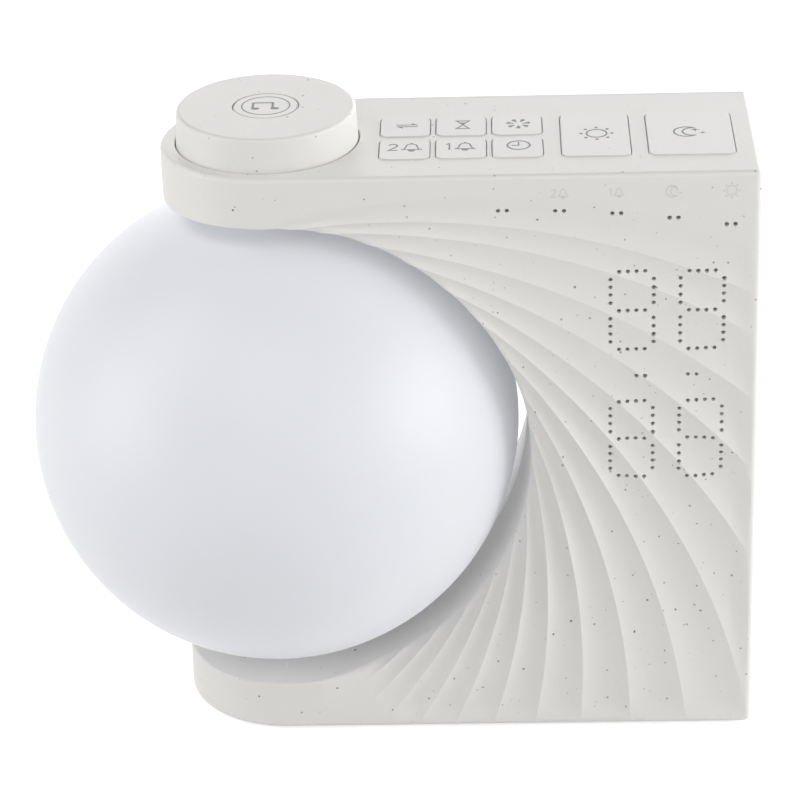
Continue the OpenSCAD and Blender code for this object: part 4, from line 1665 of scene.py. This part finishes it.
@dataclass(frozen=True)
class Keypad:
    """The prints on the keys and the button in the knob, and the signs above the indicators.

    Args:
        datum: place of the housing in the row frame.
        flange: how far a key's flange stands out under the top.
        mark_scale: size of the front's signs beside the keys'.
        mark_drop: depth of their middle below the top.
        mark_height: height of their raised signs, which are coloured grey as painted shade.
        SIGNS: the sign on each node and its offset from the middle of the node.
    """

    datum: Datum
    flange: float = 0.45
    mark_scale: float = 0.5
    mark_drop: float = 4.6
    mark_height: float = 0.1
    SIGNS: ClassVar[dict[str, tuple[Sign, Flat]]] = {
        "key_mode": (Sign.ARROWS, (0.4, 0.4)),
        "key_timer": (Sign.HOURGLASS, (0.4, 0.5)),
        "key_colour": (Sign.PETALS, (0.35, 0.5)),
        "key_alarm_two": (Sign.BELL_TWO, (0.0, 1.0)),
        "key_alarm_one": (Sign.BELL_ONE, (0.0, 1.0)),
        "key_clock": (Sign.CLOCK, (0.25, 1.0)),
        "key_light": (Sign.SUN, (0.35, 0.5)),
        "key_snooze": (Sign.MOON, (0.0, 0.6)),
        "knob_button": (Sign.NOTE, (0.0, 0.0)),
    }

    def places(self) -> list[tuple[Flat, Flat]]:
        """Measures the caps of the keys.

        Returns:
            The middle and the size of each.
        """
        found = []
        for node in self.SIGNS:
            if node.startswith("key_"):
                low, high = self.datum.local_box(node)
                centre = ((low.x + high.x) / 2, (low.y + high.y) / 2)
                found.append((centre, (high.x - low.x - 2 * self.flange, high.y - low.y - 2 * self.flange)))
        return found

    def mark_front(self, palette: Palette, housing: Housing) -> None:
        """Marks four of the indicator pairs on the front of the housing with low raised signs, coloured grey
        as painted shade.

        Args:
            palette: the materials.
            housing: the housing.
        """
        dots = housing.dots
        z = housing.height - self.mark_drop
        for back, sign in enumerate((Sign.SUN, Sign.MOON, Sign.BELL_ONE, Sign.BELL_TWO)):
            x = housing.reach - dots.indicator_inset - back * dots.indicator_pitch
            obj = drawn(sign, Pen(height=self.mark_height), "mark_" + sign.value, lambda p, x=x: (
                p[0] * self.mark_scale + x, -p[2] * 0.5 - housing.half, p[1] * self.mark_scale + z))
            self.datum.settle(obj)
            # the grey of these signs is painted shade round raised signs of the housing's own colour
            palette.coat(obj, palette.mark)
            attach(obj, "housing")
            log.info("marked %s on the front", sign.value)

    def print_signs(self, palette: Palette, bodies: dict[str, str]) -> None:
        """Prints every sign on its key.

        Args:
            palette: the materials.
            bodies: body that each node rides on.
        """
        for node, (sign, offset) in self.SIGNS.items():
            low, high = self.datum.local_box(node)
            u, v = (low.x + high.x) / 2 + offset[0], (low.y + high.y) / 2 + offset[1]
            obj = drawn(sign, Pen(), "print_" + sign.value,
                        lambda p, u=u, v=v, top=high.z: (p[0] + u, p[1] + v, p[2] + top))
            self.datum.settle(obj)
            palette.coat(obj, palette.ink)
            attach(obj, bodies[node])
            log.info("printed %s on %s", sign.value, node)


# ---------------------------------------------------------------------- stage


@dataclass(frozen=True)
class Camera:
    """The photograph's camera, in degrees and millimetres.

    Args:
        azimuth: turn about the vertical.
        elevation: height above the horizon.
        roll: turn about the line of sight.
        distance: distance to the target.
        target: point it looks at, in the housing's own frame.
        focal_px: focal length in pixels.
        image_px: width of the image that those pixels belong to.
        sensor_mm: width of the sensor.
    """

    azimuth: float = 1.839
    elevation: float = 26.75
    roll: float = -1.737
    distance: float = 834.756
    target: Point = (29.809, 0.0, 79.009)
    focal_px: float = 3366.27
    image_px: float = 800.0
    sensor_mm: float = 36.0

    def build(self, datum: Datum) -> None:
        """Makes the camera and gives it to the scene.

        Args:
            datum: place of the housing in the row frame.
        """
        back, roll = towards(self.azimuth, self.elevation), math.radians(self.roll)
        right = (-back).cross(Vector((0.0, 0.0, 1.0))).normalized()
        up = right.cross(-back)
        right_rolled = right * math.cos(roll) + up * math.sin(roll)
        up_rolled = up * math.cos(roll) - right * math.sin(roll)
        target = Vector(self.target) + Vector((datum.axis_x, 0.0, datum.foot))
        place = (target + back * self.distance) * MILLIMETRE
        data = bpy.data.cameras.new("photo_camera")
        data.sensor_width = self.sensor_mm
        data.lens = self.focal_px * self.sensor_mm / self.image_px
        obj = bpy.data.objects.new("photo_camera", data)
        bpy.context.scene.collection.objects.link(obj)
        turn = Matrix((right_rolled, up_rolled, back)).transposed()
        obj.matrix_world = Matrix.Translation(place) @ turn.to_4x4()
        bpy.context.scene.camera = obj


@dataclass(frozen=True)
class Softbox:
    """A large soft lamp.

    Args:
        name: name of the lamp.
        azimuth: where it stands, degrees from the front, to the right.
        elevation: its height, degrees.
        distance: its distance, metres.
        size: its side, metres.
        power: its power, watts.
    """

    name: str
    azimuth: float
    elevation: float
    distance: float
    size: float
    power: float

    def build(self, aim: Vector) -> None:
        """Makes the lamp.

        Args:
            aim: point that it faces, metres.
        """
        back = towards(self.azimuth, self.elevation)
        data = bpy.data.lights.new(self.name, "AREA")
        data.shape = "SQUARE"
        data.size = self.size
        data.energy = self.power
        obj = bpy.data.objects.new(self.name, data)
        obj.location = aim + back * self.distance
        obj.rotation_euler = back.to_track_quat("Z", "Y").to_euler()
        bpy.context.scene.collection.objects.link(obj)


@dataclass(frozen=True)
class Studio:
    """A white room: floor, even sky and soft lamps.

    Args:
        lamps: the soft lamps.
        sky: strength of the even light from all sides.
        floor_glow: light that the floor adds where the camera sees it.
        floor_half: half the side of the floor, metres.
        aim: point that the lamps face, metres.
    """

    lamps: tuple[Softbox, ...] = (
        Softbox("right_low", 75.0, 12.0, 1.3, 0.8, 9.2),
        Softbox("behind_right", 120.0, 12.0, 1.3, 0.8, 5.4),
        Softbox("behind_far_right", 150.0, 12.0, 1.3, 0.8, 3.3),
        Softbox("behind", 180.0, 12.0, 1.3, 0.8, 4.8),
        Softbox("behind_left", -150.0, 12.0, 1.3, 0.8, 1.4),
        Softbox("left_low", -75.0, 12.0, 1.3, 0.8, 5.7),
        Softbox("left_high", -75.0, 48.0, 1.3, 0.8, 4.2),
        Softbox("right_high", 120.0, 48.0, 1.3, 0.8, 0.9),
        Softbox("front_high", 0.0, 48.0, 1.3, 0.8, 3.2),
        Softbox("front_left", -40.0, 48.0, 1.3, 0.8, 0.8),
        Softbox("front_right", 40.0, 12.0, 1.3, 0.8, 1.8),
        Softbox("front_low", 0.0, 12.0, 1.3, 0.8, 1.0),
    )
    sky: float = 0.0
    floor_glow: float = 0.6
    floor_half: float = 6.0
    aim: Point = (0.0, 0.0, 0.08)

    def build(self) -> None:
        """Makes the floor, the sky and the lamps."""
        bpy.context.scene.view_settings.view_transform = "Standard"
        for lamp in self.lamps:
            lamp.build(Vector(self.aim))
        self._sky()
        self._floor()

    def _seen(self, tree: bpy.types.NodeTree) -> bpy.types.NodeSocket:
        """Tells the rays that show the background: camera, glossy and transmission rays.

        Args:
            tree: node tree that asks.

        Returns:
            Socket with 1 for these rays and 0 for others.
        """
        path = tree.nodes.new("ShaderNodeLightPath")
        total = path.outputs["Is Camera Ray"]
        for name in ("Is Glossy Ray", "Is Transmission Ray"):
            node = tree.nodes.new("ShaderNodeMath")
            node.operation = "MAXIMUM"
            tree.links.new(total, node.inputs[0])
            tree.links.new(path.outputs[name], node.inputs[1])
            total = node.outputs[0]
        return total

    def _sky(self) -> None:
        """Makes the world: even light, and white where the camera sees it."""
        world = bpy.data.worlds.new("white_room")
        bpy.context.scene.world = world
        world.use_nodes = True
        tree = world.node_tree
        tree.nodes.clear()
        dim, white, mix, out = (tree.nodes.new(kind) for kind in (
            "ShaderNodeBackground", "ShaderNodeBackground", "ShaderNodeMixShader", "ShaderNodeOutputWorld"))
        dim.inputs["Color"].default_value = (1.0, 0.995, 0.985, 1.0)
        dim.inputs["Strength"].default_value = self.sky
        white.inputs["Strength"].default_value = 1.0
        white.inputs["Color"].default_value = (1.0, 1.0, 1.0, 1.0)
        tree.links.new(self._seen(tree), mix.inputs[0])
        tree.links.new(dim.outputs[0], mix.inputs[1])
        tree.links.new(white.outputs[0], mix.inputs[2])
        tree.links.new(mix.outputs[0], out.inputs["Surface"])

    def _floor(self) -> None:
        """Makes the floor, which glows towards the camera and keeps the object's shadow."""
        h = self.floor_half
        mesh = bpy.data.meshes.new("floor")
        mesh.from_pydata([(-h, -h, 0.0), (h, -h, 0.0), (h, h, 0.0), (-h, h, 0.0)], [], [(0, 1, 2, 3)])
        obj = bpy.data.objects.new("floor", mesh)
        bpy.context.scene.collection.objects.link(obj)
        material = bpy.data.materials.new("pale_floor")
        material.use_nodes = True
        tree = material.node_tree
        shader = tree.nodes["Principled BSDF"]
        shader.inputs["Base Color"].default_value = (0.8, 0.8, 0.79, 1.0)
        shader.inputs["Roughness"].default_value = 0.9
        shader.inputs["Specular IOR Level"].default_value = 0.2
        glow, add, strength = (tree.nodes.new(kind) for kind in (
            "ShaderNodeEmission", "ShaderNodeAddShader", "ShaderNodeMath"))
        strength.operation = "MULTIPLY"
        tree.links.new(self._seen(tree), strength.inputs[0])
        strength.inputs[1].default_value = self.floor_glow
        tree.links.new(strength.outputs[0], glow.inputs["Strength"])
        tree.links.new(shader.outputs[0], add.inputs[0])
        tree.links.new(glow.outputs[0], add.inputs[1])
        tree.links.new(add.outputs[0], tree.nodes["Material Output"].inputs["Surface"])
        mesh.materials.append(material)


# ----------------------------------------------------------------------- main


def read_housing(datum: Datum, keypad: Keypad) -> Housing:
    """Reads the housing's sizes from the frame and adds the gaps round the globe, lamp and knob.

    Args:
        datum: place of the housing in the row frame.
        keypad: the keys.

    Returns:
        The housing.
    """
    shell_low, shell_high = datum.local_box("front_shell")
    globe_low, globe_high = datum.local_box("globe")
    collar_low, collar_high = datum.local_box("globe_collar")
    recess_low, _ = datum.local_box("encoder_body")
    knob_low, knob_high = datum.local_box("knob")
    globe_r = (globe_high.y - globe_low.y) / 2
    return Housing(
        datum=datum,
        height=shell_high.z - shell_low.z,
        half=-shell_low.y,
        reach=shell_high.x,
        cover_y=shell_high.y,
        pocket_r=globe_r + GLOBE_GAP,
        globe_x=(collar_low.x + collar_high.x) / 2,
        neck_seat=((collar_high.x - collar_low.x) / 2 + COLLAR_GAP, collar_high.z),
        recess=((knob_high.x - knob_low.x) / 2 + KNOB_GAP, shell_high.z - recess_low.z),
        keys=keypad.places(),
    )


def fit_pieces(housing: Housing, palette: Palette) -> None:
    """Puts the housing's own pieces in place of the plain ones, and the light guide into its holes.

    Args:
        housing: the housing.
        palette: the materials.
    """
    for moulding, node in ((housing.front(), "front_shell"), (housing.rear(), "rear_cover")):
        smoothed(moulding)
        housing.datum.settle(moulding)
        palette.dress(moulding, "shell_white")
        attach(moulding, "housing")
        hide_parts(node)
        log.info("built %s, %d faces", moulding.name, len(moulding.data.polygons))
    for node, slot in (("light_baffle", "baffle_white"), ("diffuser_film", "film_grey")):
        plate = housing.cut_back(node)
        palette.dress(plate, slot)
        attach(plate, "housing")
        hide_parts(node)
        log.info("cut %s back", node)
    pins = housing.datum.settle(smoothed(housing.light_guide()))
    palette.coat(pins, palette.clear)
    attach(pins, "housing")
    log.info("built %s", pins.name)


def main() -> None:
    """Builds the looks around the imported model."""
    logging.basicConfig(level=logging.INFO, format="%(message)s")
    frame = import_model()
    shell_low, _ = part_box("front_shell")
    knob_low, knob_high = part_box("knob")
    datum = Datum((knob_low.x + knob_high.x) / 2 / MILLIMETRE, shell_low.z / MILLIMETRE)
    bodies = {node: body for body, nodes in frame["record"]["behaviour"]["bodies"].items() for node in nodes}
    palette = Palette()
    palette.dress_frame(frame)
    keypad = Keypad(datum)
    housing = read_housing(datum, keypad)
    fit_pieces(housing, palette)
    keypad.print_signs(palette, bodies)
    keypad.mark_front(palette, housing)
    Studio().build()
    Camera().build(datum)


if __name__ == "__main__":
    main()
